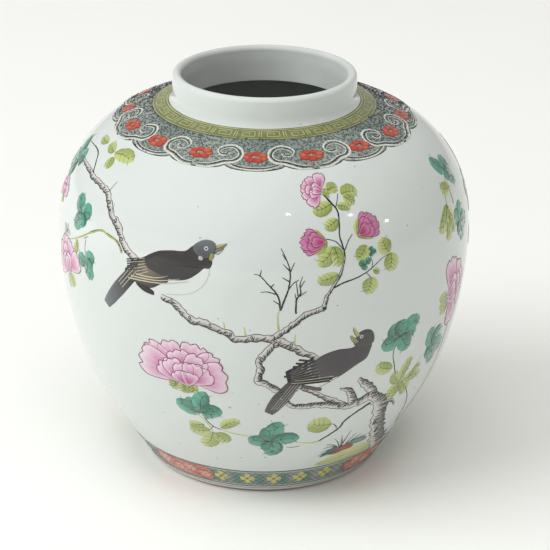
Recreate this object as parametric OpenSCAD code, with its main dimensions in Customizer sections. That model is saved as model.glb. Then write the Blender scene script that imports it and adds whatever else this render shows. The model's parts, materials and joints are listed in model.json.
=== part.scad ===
// Ginger jar without its lid: thrown porcelain sections luted together with slip, a turned
// foot, a clear glaze inside and out, and bands of overglaze enamel fused on top of the glaze.
// The resting face lies on z = 0, the axis of the jar is Z and its painted front faces -Y.
// Every outside size is a finished size, over the glaze.

/* [Body] */
// Height from the resting face to the rim
jar_h = 200; // [165:1:250]
// Greatest diameter
body_d = 204; // [170:1:250]
// Height of the greatest diameter
belly_z = 119; // [98:1:144]
// Radius of the belly curve in profile
belly_r = 185; // [150:1:230]
// Turn of the belly curve above the greatest diameter, in degrees
belly_up = 3.5; // [2:0.5:6]
// Turn of the belly curve below the greatest diameter, in degrees
belly_down = 18; // [14:0.5:22]
// Slope of the shoulder where it meets the neck, in degrees
neck_slope = 15; // [8:0.5:20]
// Length of the run-in beside the neck over the length of the shoulder curve
neck_ease = 0.3; // [0.2:0.05:0.6]
// Flare of the wall where it leaves the foot, in degrees from upright
foot_flare = 33; // [22:0.5:40]
// Length of the bend under the belly over the length of the run up from the foot
foot_ease = 0.5; // [0.3:0.05:1]
// Clay thickness of the body
wall = 4; // [3:0.1:6]

/* [Neck] */
// Diameter of the neck, which is the seat of a cap lid
neck_d = 90; // [75:0.5:108]
// Height of the neck above the shoulder
neck_h = 14; // [11:0.5:20]
// Clay thickness of the neck
neck_wall = 4; // [3:0.1:5]
// Spread of the neck's base past its side
neck_spread = 1.7; // [1:0.1:3]
// Radius of the sweep from the neck's side to its base
neck_sweep = 8; // [5:0.5:12]

/* [Foot] */
// Diameter of the resting face
foot_d = 115; // [92:0.5:138]
// Width of the resting face
foot_face_w = 5.5; // [4:0.1:8]
// Height of the foot ring, which is how far the base is recessed
foot_h = 5; // [4:0.1:8]
// Width of the bare bevel outside the resting face
bevel_w = 1.5; // [1:0.1:2.5]
// Height of the bare bevel, where the outside glaze stops
bevel_h = 1.5; // [1:0.1:2.5]
// Thickness of the base slab
slab_t = 5; // [3:0.1:8]

/* [Luting joint] */
// Height of the tongue on the lower section that the upper section fits over
tongue_h = 3; // [2:0.1:6]
// Thickness of the tongue
tongue_t = 1.9; // [1.2:0.1:2.4]

/* [Glaze and enamel] */
// Thickness of the clear glaze
glaze_t = 0.3; // [0.2:0.05:0.5]
// Thickness of the overglaze enamel
enamel_t = 0.15; // [0.1:0.05:0.3]
// Width of the fretted band around the neck, seen from above
fret_w = 8.5; // [6:0.1:11]
// Width of the cloud collar at the tips of its lappets, seen from above
collar_w = 19.5; // [16:0.5:24]
// Depth of the clefts between the lappets
cleft = 3; // [3:0.5:7]
// Number of lappets in the cloud collar
lappets = 16; // [12:1:20]
// Height of the lower edge of the border above the foot
border_low = 4.3; // [3:0.1:6]
// Height of the upper edge of the border above the foot
border_top = 17.2; // [12:0.1:24]

/* [Hidden] */

body_r = body_d / 2;
neck_r = neck_d / 2;
neck_z = jar_h - neck_h;
neck_base_r = neck_r + neck_spread;
rim_r = neck_wall / 2 + glaze_t;
rim_z = jar_h - rim_r;
neck_mid_r = neck_r - rim_r;
mouth_r = neck_r - 2 * rim_r;
sweep_z = neck_z + sqrt(pow(neck_sweep, 2) - pow(neck_sweep - neck_spread, 2));
foot_r = foot_d / 2;
foot_in_r = foot_r - foot_face_w;
slab_top = foot_h + slab_t;
fret_r = neck_base_r + fret_w;
tip_r = fret_r + collar_w;
cleft_r = tip_r - cleft;

// Depths below the finished outside surface at which the layers of the wall end
clay_in = glaze_t + wall;
cavity_in = clay_in + glaze_t;
well_inside = clay_in + 30;
well_outside = -60;
lap = 0.02;

// Facets around the jar and around a whole circle of its profile
$fn = 180;
profile_fn = 256;

// The profile is a chain of tangent arcs, followed upwards from the foot to the neck with the
// cavity on its left. An arc is [centre, radius, first angle, last angle]: the angles are
// those of the outward normal, and the radius is negative where the wall is hollow outside.
function unit(v) = v / norm(v);
function turn(d) = atan2(d[1], d[0]);
function arc(p, t, q) =
    let (n = [-t[1], t[0]],
         d = q - p,
         r = (d * d) / (2 * (d * n)),
         c = p + n * r)
    [c, r, turn((p - c) / r), turn((q - c) / r)];

// Where two arcs meet that leave p along t and reach q along u, with the second's tangent
// k times as long as the first's: the point and the direction there
function meeting(p, t, q, u, k) =
    let (v = q - p,
         a = 2 * k * (t * u - 1),
         b = 2 * (v * (t + k * u)),
         len = 2 * (v * v) / (b + sqrt(b * b - 4 * a * (v * v))),
         m = p + len * t,
         n = q - k * len * u)
    [(k * m + n) / (1 + k), unit(n - m)];
function two_arcs(p, t, q, u, k) =
    let (j = meeting(p, t, q, u, k))
    [arc(p, t, j[0]), arc(j[0], j[1], q)];

// The same arc carried on past its ends by these lengths
function longer(a, before, after) =
    [a[0], a[1], a[2] - before / a[1] * 180 / PI, a[3] + after / a[1] * 180 / PI];
// Radius of the jar at a height, at a depth below the outside surface
function side_r(a, z, depth) =
    a[0][0] + sign(a[1]) * sqrt(pow(a[1] - depth, 2) - pow(z - a[0][1], 2));

belly_c = [body_r - belly_r, belly_z];
low = two_arcs([foot_r + bevel_w, 0], [sin(foot_flare), cos(foot_flare)],
               belly_c + belly_r * [cos(belly_down), -sin(belly_down)],
               [sin(belly_down), cos(belly_down)], foot_ease);
high = two_arcs(belly_c + belly_r * [cos(belly_up), sin(belly_up)],
                [-sin(belly_up), cos(belly_up)],
                [neck_base_r, neck_z], [-cos(neck_slope), sin(neck_slope)], neck_ease);
foot_run = longer(low[0], wall, 0);
neck_run = longer(high[1], 0, neck_base_r - mouth_r + wall);
LOWER = [foot_run, low[1], [belly_c, belly_r, -belly_down, 0]];
UPPER = [[belly_c, belly_r, 0, belly_up], high[0], neck_run];

// ---- layers of the wall, in profile ----

// The stretch of the wall along one arc between two depths
module band(a, near, far) {
    outer = max(abs(a[1] - near), abs(a[1] - far));
    inner = min(abs(a[1] - near), abs(a[1] - far));
    reach = sign(a[1]) * outer * 1.5;
    spread = [for (k = [0 : 0.25 : 1]) a[2] + k * (a[3] - a[2])];
    intersection() {
        translate(a[0]) difference() {
            circle(r = outer, $fn = profile_fn);
            circle(r = inner, $fn = profile_fn);
        }
        polygon(concat([a[0]], [for (s = spread) a[0] + reach * [cos(s), sin(s)]]));
    }
}

// Neighbouring stretches lap a little where their arcs meet, so that they fuse
module layer(arcs, near, far) {
    last = len(arcs) - 1;
    for (i = [0 : last])
        band(longer(arcs[i], i > 0 ? lap : 0, i < last ? lap : 0), near, far);
}

module below(z) {
    translate([-1, z - jar_h]) square([body_r + jar_h, jar_h]);
}

module inside_radius(r) {
    translate([-1, 0]) square([r + 1, jar_h + 1]);
}

module tongue() {
    intersection() {
        layer(UPPER, clay_in - tongue_t, clay_in);
        translate([0, belly_z]) square([body_r, tongue_h]);
    }
}

// The neck from its middle outwards, at a depth below its finished surface: its side and
// its rim, and the sweep that spreads on to the shoulder
module neck_outside(depth) {
    translate([neck_mid_r, neck_z - wall]) square([rim_r - depth, rim_z - neck_z + wall]);
    translate([neck_mid_r, rim_z]) circle(r = rim_r - depth, $fn = profile_fn);
    difference() {
        translate([neck_mid_r, neck_z - wall])
            square([neck_base_r - neck_mid_r, sweep_z - neck_z + wall]);
        translate([neck_r + neck_sweep, sweep_z])
            circle(r = neck_sweep + depth, $fn = profile_fn);
    }
}

module neck_clay() {
    difference() {
        union() {
            neck_outside(glaze_t);
            translate([mouth_r + glaze_t, neck_z - 2 * wall])
                square([neck_wall, rim_z - neck_z + 2 * wall]);
        }
        layer([neck_run], clay_in, well_inside);
        difference() {
            layer([neck_run], glaze_t, well_inside);
            inside_radius(neck_r - glaze_t);
        }
    }
}

// ---- thrown and turned porcelain ----

module foot_ring() {
    bevel_top_r = side_r(foot_run, bevel_h, glaze_t);
    color("#d9cbb4") rotate_extrude() difference() {
        translate([foot_in_r, 0]) square([body_r - foot_in_r, foot_h]);
        layer([foot_run], well_outside, glaze_t);
        polygon([[foot_r, 0], [bevel_top_r, bevel_h], [body_r, bevel_h],
                 [body_r, -bevel_h], [foot_r, -bevel_h]]);
    }
}

module base_slab() {
    color("#e6e3da") rotate_extrude() difference() {
        translate([0, foot_h]) square([body_r, slab_t]);
        layer([foot_run], well_outside, clay_in);
    }
}

module lower_section() {
    color("#e9e6de") rotate_extrude() {
        difference() {
            layer(LOWER, glaze_t, clay_in);
            below(foot_h);
        }
        tongue();
    }
}

module upper_section() {
    color("#f0eee8") rotate_extrude() difference() {
        layer(UPPER, glaze_t, clay_in);
        tongue();
        inside_radius(neck_r - glaze_t);
    }
}

module upright_neck() {
    color("#e3e6e4") rotate_extrude() neck_clay();
}

// ---- clear glaze ----

module outside_glaze() {
    color("#eef3f3") rotate_extrude() {
        difference() {
            layer(concat(LOWER, UPPER), 0, glaze_t);
            below(bevel_h);
            inside_radius(neck_r);
            neck_clay();
        }
        difference() {
            neck_outside(0);
            neck_outside(glaze_t);
            inside_radius(neck_mid_r);
            layer([neck_run], glaze_t, well_inside);
        }
    }
}

module inside_glaze() {
    color("#cfd6d6") rotate_extrude() {
        difference() {
            layer(LOWER, clay_in, cavity_in);
            below(slab_top);
        }
        difference() {
            translate([0, slab_top]) square([body_r, glaze_t]);
            layer([foot_run], well_outside, clay_in);
        }
        difference() {
            layer(UPPER, clay_in, cavity_in);
            inside_radius(mouth_r);
        }
        difference() {
            translate([mouth_r, neck_z - 2 * wall])
                square([glaze_t, rim_z - neck_z + 2 * wall]);
            layer([neck_run], cavity_in, well_inside);
        }
        intersection() {
            translate([neck_mid_r, rim_z]) difference() {
                circle(r = rim_r, $fn = profile_fn);
                circle(r = rim_r - glaze_t, $fn = profile_fn);
            }
            translate([mouth_r, rim_z]) square(rim_r);
        }
    }
}

module base_glaze() {
    color("#dfe6e6") translate([0, 0, foot_h - glaze_t]) cylinder(r = foot_in_r, h = glaze_t);
}

// ---- overglaze enamel ----

module fret_band() {
    color("#8a8f4e") rotate_extrude() intersection() {
        layer([neck_run], -enamel_t, 0);
        translate([neck_base_r, 0]) square([fret_w, jar_h]);
    }
}

// Seen from above, each lappet is part of a circle that passes through its tip and through
// the clefts on both sides of it
module cloud_collar() {
    half = 180 / lappets;
    lobe_c = (pow(tip_r, 2) - pow(cleft_r, 2)) / (2 * (tip_r - cleft_r * cos(half)));
    color("#6f8278") intersection() {
        rotate_extrude() difference() {
            layer([high[0], neck_run], -enamel_t, 0);
            inside_radius(fret_r);
        }
        linear_extrude(jar_h) {
            circle(r = cleft_r * cos(half));
            for (i = [0 : lappets - 1])
                rotate(i * 2 * half - 90) translate([lobe_c, 0]) circle(r = tip_r - lobe_c);
        }
    }
}

module foot_border() {
    color("#7c9a86") rotate_extrude() intersection() {
        layer([foot_run], -enamel_t, 0);
        translate([0, border_low]) square([body_r, border_top - border_low]);
    }
}

foot_ring();
base_slab();
lower_section();
upper_section();
upright_neck();
outside_glaze();
inside_glaze();
base_glaze();
fret_band();
cloud_collar();
foot_border();
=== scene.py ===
import json
import math
import random

import bpy
import numpy as np
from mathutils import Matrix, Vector

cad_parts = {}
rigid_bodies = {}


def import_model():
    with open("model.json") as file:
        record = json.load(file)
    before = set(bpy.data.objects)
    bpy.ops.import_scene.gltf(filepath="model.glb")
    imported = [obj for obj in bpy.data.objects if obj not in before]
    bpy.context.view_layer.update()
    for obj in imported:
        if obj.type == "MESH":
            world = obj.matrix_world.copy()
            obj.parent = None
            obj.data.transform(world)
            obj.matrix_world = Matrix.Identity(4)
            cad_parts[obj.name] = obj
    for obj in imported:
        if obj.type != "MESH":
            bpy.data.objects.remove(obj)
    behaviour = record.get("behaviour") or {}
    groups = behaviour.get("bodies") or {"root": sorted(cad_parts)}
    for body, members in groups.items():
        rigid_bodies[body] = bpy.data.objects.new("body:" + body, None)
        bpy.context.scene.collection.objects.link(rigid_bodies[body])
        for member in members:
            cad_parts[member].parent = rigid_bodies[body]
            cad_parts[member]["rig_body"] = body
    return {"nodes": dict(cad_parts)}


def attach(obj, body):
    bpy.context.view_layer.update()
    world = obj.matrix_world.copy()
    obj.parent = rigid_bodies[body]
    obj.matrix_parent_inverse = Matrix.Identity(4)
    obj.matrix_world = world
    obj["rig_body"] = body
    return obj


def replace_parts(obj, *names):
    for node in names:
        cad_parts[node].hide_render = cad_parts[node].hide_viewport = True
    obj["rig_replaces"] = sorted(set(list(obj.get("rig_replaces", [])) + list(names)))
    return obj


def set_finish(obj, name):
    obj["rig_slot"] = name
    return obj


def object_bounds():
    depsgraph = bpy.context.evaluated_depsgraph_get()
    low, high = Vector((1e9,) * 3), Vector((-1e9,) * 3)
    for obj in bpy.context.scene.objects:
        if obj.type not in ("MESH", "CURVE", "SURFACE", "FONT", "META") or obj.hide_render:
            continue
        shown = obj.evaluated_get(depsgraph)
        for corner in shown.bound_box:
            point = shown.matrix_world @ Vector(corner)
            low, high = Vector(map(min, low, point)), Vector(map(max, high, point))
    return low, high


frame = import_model()
cad_low, cad_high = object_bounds()


# ---- Thrown clay ----
# The jar is porcelain clay thrown in two bowls that are luted at the belly with slip, with a
# separate neck and base slab. The foot ring is turned last and left bare, so its clay shows
# a warm iron-stained bisque with fine turning lines.

class Link:
    """One socket of a shader or geometry tree. Sums on it add Math nodes."""

    def __init__(self, tree, socket=None):
        self.tree = tree
        self.socket = socket

    def node(self, kind, inputs=None, output=0, stops=None, **settings):
        """Adds any node: its settings and ramp stops are set first, then its sockets."""
        made = self.tree.nodes.new(kind)
        for name, value in settings.items():
            setattr(made, name, value)
        if stops:
            ramp = made.color_ramp
            for place, colour in stops[2:]:
                ramp.elements.new(place).color = (*colour, 1)
            for element, (place, colour) in zip(ramp.elements, sorted(stops)):
                element.position = place
                element.color = (*colour, 1)
        for key, value in (inputs or {}).items():
            if isinstance(value, Link):
                self.tree.links.new(value.socket, made.inputs[key])
            else:
                made.inputs[key].default_value = value
        return Link(self.tree, made.outputs[output] if len(made.outputs) else None)

    def maths(self, operation, *values):
        return self.node("ShaderNodeMath", dict(enumerate(values)), operation=operation)

    def __add__(self, other):
        return self.maths("ADD", self, other)

    def __rsub__(self, other):
        return self.maths("SUBTRACT", other, self)

    def __mul__(self, other):
        return self.maths("MULTIPLY", self, other)

    __radd__ = __add__
    __rmul__ = __mul__

    def noise(self, size, detail=2.0):
        """Cloudy noise from 0 to 1 whose blotches are about this many millimetres across."""
        place = self.node("ShaderNodeTexCoord", output="Object")
        return self.node("ShaderNodeTexNoise",
                         {"Vector": place, "Scale": 1000 / size, "Detail": detail})

    def mix(self, share, first, second, how="MIX"):
        """A colour mixed from two."""
        made = self.node("ShaderNodeMix", output=2, data_type="RGBA", blend_type=how)
        sockets = made.socket.node.inputs
        for key, value in ((0, share), (6, first), (7, second)):
            if isinstance(value, Link):
                self.tree.links.new(value.socket, sockets[key])
            else:
                sockets[key].default_value = value if key == 0 else (*value, 1)
        return made


def tone(red, green, blue):
    """A linear colour from its three parts out of 255."""
    parts = np.array([red, green, blue]) / 255
    return tuple(np.where(parts <= 0.04045, parts / 12.92, ((parts + 0.055) / 1.055) ** 2.4))


def fired(name, colour_of, roughness_of, relief, relief_of, coat=0.0):
    """A fired surface: its colour, roughness and relief are worked out by three functions."""
    material = bpy.data.materials.new(name)
    material.use_nodes = True
    material.node_tree.nodes.clear()
    pen = Link(material.node_tree)
    bump = pen.node("ShaderNodeBump", {"Height": relief_of(pen), "Strength": 1.0,
                                       "Distance": relief / 1000})
    shader = pen.node("ShaderNodeBsdfPrincipled", {
        "Base Color": colour_of(pen), "Roughness": roughness_of(pen), "Normal": bump,
        "Coat Weight": coat, "Coat Roughness": 0.04, "IOR": 1.52})
    pen.node("ShaderNodeOutputMaterial", {"Surface": shader})
    return material


def turning_lines(pen, pitch):
    """Rings left by the turning tool, this many millimetres apart."""
    place = pen.node("ShaderNodeTexCoord", output="Object")
    return pen.node("ShaderNodeTexWave", {"Vector": place, "Scale": 1000 / pitch / 2 / math.pi,
                                          "Distortion": 1.2, "Detail": 2.0},
                    output="Fac", bands_direction="Z")


bare_clay = fired(
    "bare_clay",
    lambda pen: pen.mix(pen.noise(6, 4.0), tone(186, 160, 132), tone(150, 112, 82)),
    lambda pen: 0.55 + 0.25 * pen.noise(2),
    0.15, lambda pen: turning_lines(pen, 0.9) + 0.6 * pen.noise(0.8))
glazed_clay = fired(
    "glazed_clay",
    lambda pen: pen.mix(pen.noise(9), tone(232, 231, 226), tone(219, 220, 214)),
    lambda pen: 0.4 + 0.15 * pen.noise(3),
    0.1, lambda pen: turning_lines(pen, 2.2) + 0.3 * pen.noise(1.5))

for name in ("foot_ring", "base_slab", "lower_section", "upper_section", "upright_neck"):
    clay = bare_clay if name == "foot_ring" else glazed_clay
    for finish in frame["nodes"][name].material_slots:
        finish.material = clay


# ---- Clear glaze ----
# A clear, faintly blue feldspar glaze covers the clay inside and out, poured and dipped in
# one firing. It pools very slightly, holds a few specks of iron, and mirrors the window.
# Outside it stops at the bare bevel of the foot.

BODY_R = 102.0
BELLY_Z = 119.0
BELLY_R = 185.0
BELLY_UP = math.radians(3.5)
BELLY_DOWN = math.radians(18)
FOOT_R = 59.0
FOOT_FLARE = math.radians(33)
FOOT_EASE = 0.5
NECK_R = 45.0
NECK_BASE_R = 46.7
NECK_Z = 186.0
NECK_SLOPE = math.radians(15)
NECK_EASE = 0.3
NECK_SWEEP = 8.0
GLAZE_FOOT_Z = 1.5
GLAZE_T = 0.3
CLAY_T = 4.0
RIM_R = CLAY_T / 2 + GLAZE_T
NECK_STOP = 1.0
BORE_BELOW_NECK = 4.0
FLOOR_Z = 10.0
JAR_H = cad_high.z * 1000
AROUND = 256


def arc_through(start, way, end):
    """Centre and signed radius of the arc that leaves start along way and reaches end."""
    across = np.array([-way[1], way[0]])
    reach = end - start
    radius = reach @ reach / (2 * (reach @ across))
    return start + radius * across, radius


def two_arcs(start, way, end, end_way, ease):
    """The two arcs that join start to end smoothly, the second's tangent ease times longer."""
    reach = end - start
    a = 2 * ease * (way @ end_way - 1)
    b = 2 * reach @ (way + ease * end_way)
    length = 2 * reach @ reach / (b + math.sqrt(b * b - 4 * a * (reach @ reach)))
    first = start + length * way
    second = end - ease * length * end_way
    joint = (ease * first + second) / (1 + ease)
    turn = (second - first) / np.linalg.norm(second - first)
    return [(start, joint, *arc_through(start, way, joint)),
            (joint, end, *arc_through(joint, turn, end))]


def heading(angle):
    return np.array([math.sin(angle), math.cos(angle)])


belly_centre = np.array([BODY_R - BELLY_R, BELLY_Z])
belly_low = belly_centre + BELLY_R * np.array([math.cos(BELLY_DOWN), -math.sin(BELLY_DOWN)])
belly_top = belly_centre + BELLY_R * np.array([math.cos(BELLY_UP), math.sin(BELLY_UP)])
WALL = (two_arcs(np.array([FOOT_R, 0.0]), heading(FOOT_FLARE),
                 belly_low, heading(BELLY_DOWN), FOOT_EASE)
        + [(belly_low, belly_top, belly_centre, BELLY_R)]
        + two_arcs(belly_top, heading(-BELLY_UP), np.array([NECK_BASE_R, NECK_Z]),
                   heading(NECK_SLOPE - math.pi / 2), NECK_EASE))


def wall_at(height):
    """Radius of the glazed wall at a height, and its climb: height gained per length of wall."""
    for start, end, centre, radius in WALL:
        if height <= end[1] or end[1] == NECK_Z:
            out = math.sqrt(max(radius ** 2 - (height - centre[1]) ** 2, 0.01))
            return centre[0] + math.copysign(out, radius), out / abs(radius)


def wall_line(depth, step):
    """Points up the wall at a depth below its glazed surface."""
    line = []
    for start, end, centre, radius in WALL:
        first = math.atan2(*((start - centre) / radius)[::-1])
        last = math.atan2(*((end - centre) / radius)[::-1])
        steps = max(3, round(abs((last - first) * radius) / step))
        line += [centre + (radius - depth) * np.array([math.cos(a), math.sin(a)])
                 for a in np.linspace(first, last, steps, endpoint=False)]
    return line + [end - depth * np.array([math.sin(NECK_SLOPE), math.cos(NECK_SLOPE)])]


def curve_round(centre, radius, first, last, steps):
    """Points along part of a circle in profile, between two angles in degrees."""
    return [np.array([centre[0] + radius * math.cos(a), centre[1] + radius * math.sin(a)])
            for a in np.radians(np.linspace(first, last, steps))]


def new_tree(name, *sockets):
    """An empty node tree for geometry, its pen and its inputs by name."""
    tree = bpy.data.node_groups.new(name, "GeometryNodeTree")
    for label, kind in (("Geometry", "NodeSocketGeometry"), *sockets):
        tree.interface.new_socket(label, in_out="INPUT", socket_type=kind)
    tree.interface.new_socket("Geometry", in_out="OUTPUT", socket_type="NodeSocketGeometry")
    given = tree.nodes.new("NodeGroupInput")
    return tree, Link(tree), lambda label: Link(tree, given.outputs[label])


def close_tree(pen, geometry, material):
    """Ends a tree: instances are made real and the finish is set."""
    geometry = pen.node("GeometryNodeRealizeInstances", {"Geometry": geometry})
    geometry = pen.node("GeometryNodeSetMaterial", {"Geometry": geometry, "Material": material})
    pen.node("NodeGroupOutput", {"Geometry": geometry})


def grown(name, start, tree, **values):
    """Runs a tree on a start mesh and keeps the result as a plain mesh object."""
    mesh = bpy.data.meshes.new(name + "_start")
    mesh.from_pydata(*start)
    holder = bpy.data.objects.new(name + "_start", mesh)
    return grown_from(name, holder, tree, **values)


def grown_from(name, holder, tree, **values):
    """Runs a tree on an object and keeps the result in its place as a plain mesh object."""
    bpy.context.scene.collection.objects.link(holder)
    modifier = holder.modifiers.new(name, "NODES")
    modifier.node_group = tree
    for item in tree.interface.items_tree:
        label = item.name.replace(" ", "_").lower()
        if item.in_out == "INPUT" and label in values:
            modifier[item.identifier] = values[label]
    seen = holder.evaluated_get(bpy.context.evaluated_depsgraph_get())
    mesh = bpy.data.meshes.new_from_object(seen)
    holder.modifiers.clear()
    bpy.data.objects.remove(holder)
    mesh.name = name
    piece = bpy.data.objects.new(name, mesh)
    bpy.context.scene.collection.objects.link(piece)
    return piece


# The throwing tree turns a closed outline, drawn in the XZ plane, once round the axis.
wheel, pen, given = new_tree("thrown_on_the_wheel", ("Around", "NodeSocketInt"),
                             ("Points", "NodeSocketInt"), ("Material", "NodeSocketMaterial"))
grid = pen.node("GeometryNodeMeshGrid", {"Vertices X": given("Around") + 1,
                                         "Vertices Y": given("Points")})
index = pen.node("GeometryNodeInputIndex")
row = pen.maths("MODULO", index, given("Points"))
column = pen.maths("FLOOR", pen.maths("DIVIDE", index, given("Points")))
place = pen.node("GeometryNodeInputPosition")
outline = pen.node("GeometryNodeSampleIndex", {"Geometry": given("Geometry"), "Index": row},
                   data_type="FLOAT_VECTOR")
sample = outline.socket.node
pen.tree.links.new(place.socket, next(s for s in sample.inputs
                                      if s.name == "Value" and s.type == "VECTOR"))
outline = Link(pen.tree, next(s for s in sample.outputs if s.type == "VECTOR"))
split = pen.node("ShaderNodeSeparateXYZ", {0: outline})
across = Link(pen.tree, split.socket.node.outputs["X"])
height = Link(pen.tree, split.socket.node.outputs["Z"])
angle = pen.maths("DIVIDE", column, given("Around")) * (2 * math.pi)
turned = pen.node("ShaderNodeCombineXYZ", {
    "X": across * pen.maths("SINE", angle),
    "Y": across * pen.maths("COSINE", angle) * -1,
    "Z": height})
thrown = pen.node("GeometryNodeSetPosition", {"Geometry": grid, "Position": turned})
thrown = pen.node("GeometryNodeMergeByDistance", {"Geometry": thrown, "Distance": 0.000002})
thrown = pen.node("GeometryNodeSetShadeSmooth", {"Geometry": thrown}, domain="FACE")
bend = pen.node("GeometryNodeInputMeshEdgeAngle")
corner = pen.node("FunctionNodeCompare", {0: bend, 1: math.radians(40)}, operation="GREATER_THAN")
thrown = pen.node("GeometryNodeSetShadeSmooth",
                  {"Geometry": thrown, "Selection": corner, "Shade Smooth": False},
                  domain="EDGE")
close_tree(pen, thrown, given("Material"))


def throw(name, outline, material):
    """A turned piece from its closed outline in millimetres, outside first going up."""
    points = [(r / 1000, 0, z / 1000) for r, z in outline] + [(outline[0][0] / 1000, 0,
                                                              outline[0][1] / 1000)]
    return grown(name, (points, [], []), wheel, around=AROUND, points=len(points),
                 material=material)


def glaze_colour(pen):
    cloud = pen.noise(45, 3.0)
    speck = pen.maths("GREATER_THAN", pen.noise(2.6, 0.0), 0.868)
    body = pen.mix(cloud, tone(211, 216, 213), tone(203, 209, 206))
    return pen.mix(0.5 * speck, body, tone(96, 92, 84))


clear_glaze = fired("clear_glaze", glaze_colour,
                    lambda pen: 0.05 + 0.05 * pen.noise(20),
                    0.35, lambda pen: pen.noise(26, 1.0) + 0.02 * pen.noise(2.5), coat=0.3)
inside_glaze = fired("inside_glaze",
                     lambda pen: pen.mix(pen.noise(18), tone(206, 210, 208), tone(188, 191, 188)),
                     lambda pen: 0.12 + 0.12 * pen.noise(12),
                     0.35, lambda pen: pen.noise(22, 1.0) + 0.2 * turning_lines(pen, 5.0))

crest = (NECK_R - RIM_R, JAR_H - RIM_R)
bore_r = NECK_R - 2 * RIM_R
sweep_z = NECK_Z + math.sqrt(NECK_SWEEP ** 2 - (NECK_SWEEP - NECK_BASE_R + NECK_R) ** 2)
sweep_turn = math.degrees(math.asin((sweep_z - NECK_Z) / NECK_SWEEP))


def wall_between(depth, step, low, least_r):
    """The wall line from a height up to a radius, with both ends cut off square."""
    line = [p for p in wall_line(depth, step) if p[1] > low + 0.2 and p[0] > least_r + 0.2]
    foot_radius = line[0][0] - (line[0][1] - low) * math.tan(FOOT_FLARE)
    return [np.array([foot_radius, low])] + line


outside = (wall_between(0, 2.0, GLAZE_FOOT_Z, 0)
           + curve_round((NECK_R + NECK_SWEEP, sweep_z), NECK_SWEEP, 180 + sweep_turn, 180, 8)[1:]
           + curve_round(crest, RIM_R, 0, 90, 12)
           + curve_round(crest, RIM_R - GLAZE_T, 90, 0, 6)
           + [np.array([NECK_R - GLAZE_T, NECK_Z + NECK_STOP])]
           + wall_between(GLAZE_T, 5.0, GLAZE_FOOT_Z, NECK_R)[::-1])
glaze_skin = throw("outside_glaze_skin", outside, clear_glaze)
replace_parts(glaze_skin, "outside_glaze")

inner_wall = CLAY_T + GLAZE_T
lining = (wall_between(inner_wall, 6.0, FLOOR_Z, bore_r)
          + [np.array([bore_r + GLAZE_T, NECK_Z - BORE_BELOW_NECK]),
             np.array([bore_r + GLAZE_T, crest[1]])]
          + curve_round(crest, RIM_R - GLAZE_T, 180, 90, 6)[1:]
          + curve_round(crest, RIM_R, 90, 180, 12)
          + [np.array([bore_r, NECK_Z - BORE_BELOW_NECK])]
          + wall_between(inner_wall + GLAZE_T, 2.5, FLOOR_Z + GLAZE_T, bore_r)[::-1]
          + [np.array([0.0, FLOOR_Z + GLAZE_T]), np.array([0.0, FLOOR_Z])])
lining_skin = throw("inside_glaze_lining", lining, inside_glaze)
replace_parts(lining_skin, "inside_glaze")

for piece in (glaze_skin, lining_skin):
    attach(piece, "root")
    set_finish(piece, "clear_glaze")
for finish in frame["nodes"]["base_glaze"].material_slots:
    finish.material = clear_glaze


# ---- Enamel bands round the neck ----
# The painter works over the fired glaze in enamels that melt and stand a tenth of a
# millimetre proud. Next to the neck lies an olive band of yellow-green squared meanders,
# ruled with a green line inside and a pale and a dark line outside.

SUNK = -0.1
LAP = 0.03
PER_DEGREE = math.pi / 180


def smooth(path, step=1.0, closed=False):
    """A curve through flat points, sampled about every step millimetres."""
    path = [np.array(p, float) for p in path]
    count = len(path)
    line = []
    for i in range(count if closed else count - 1):
        if closed:
            a, b, c, d = (path[(i + k) % count] for k in (-1, 0, 1, 2))
        else:
            a, b, c, d = (path[min(max(i + k, 0), count - 1)] for k in (-1, 0, 1, 2))
        span = math.hypot((c - b)[0] * 1.6, (c - b)[1])
        for t in np.arange(0, 1, 1 / max(1, round(span / step))):
            line.append(0.5 * (2 * b + (c - a) * t + (2 * a - 5 * b + 4 * c - d) * t * t
                               + (3 * b - a - 3 * c + d) * t ** 3))
    return np.array(line if closed else line + [path[-1]])


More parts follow.
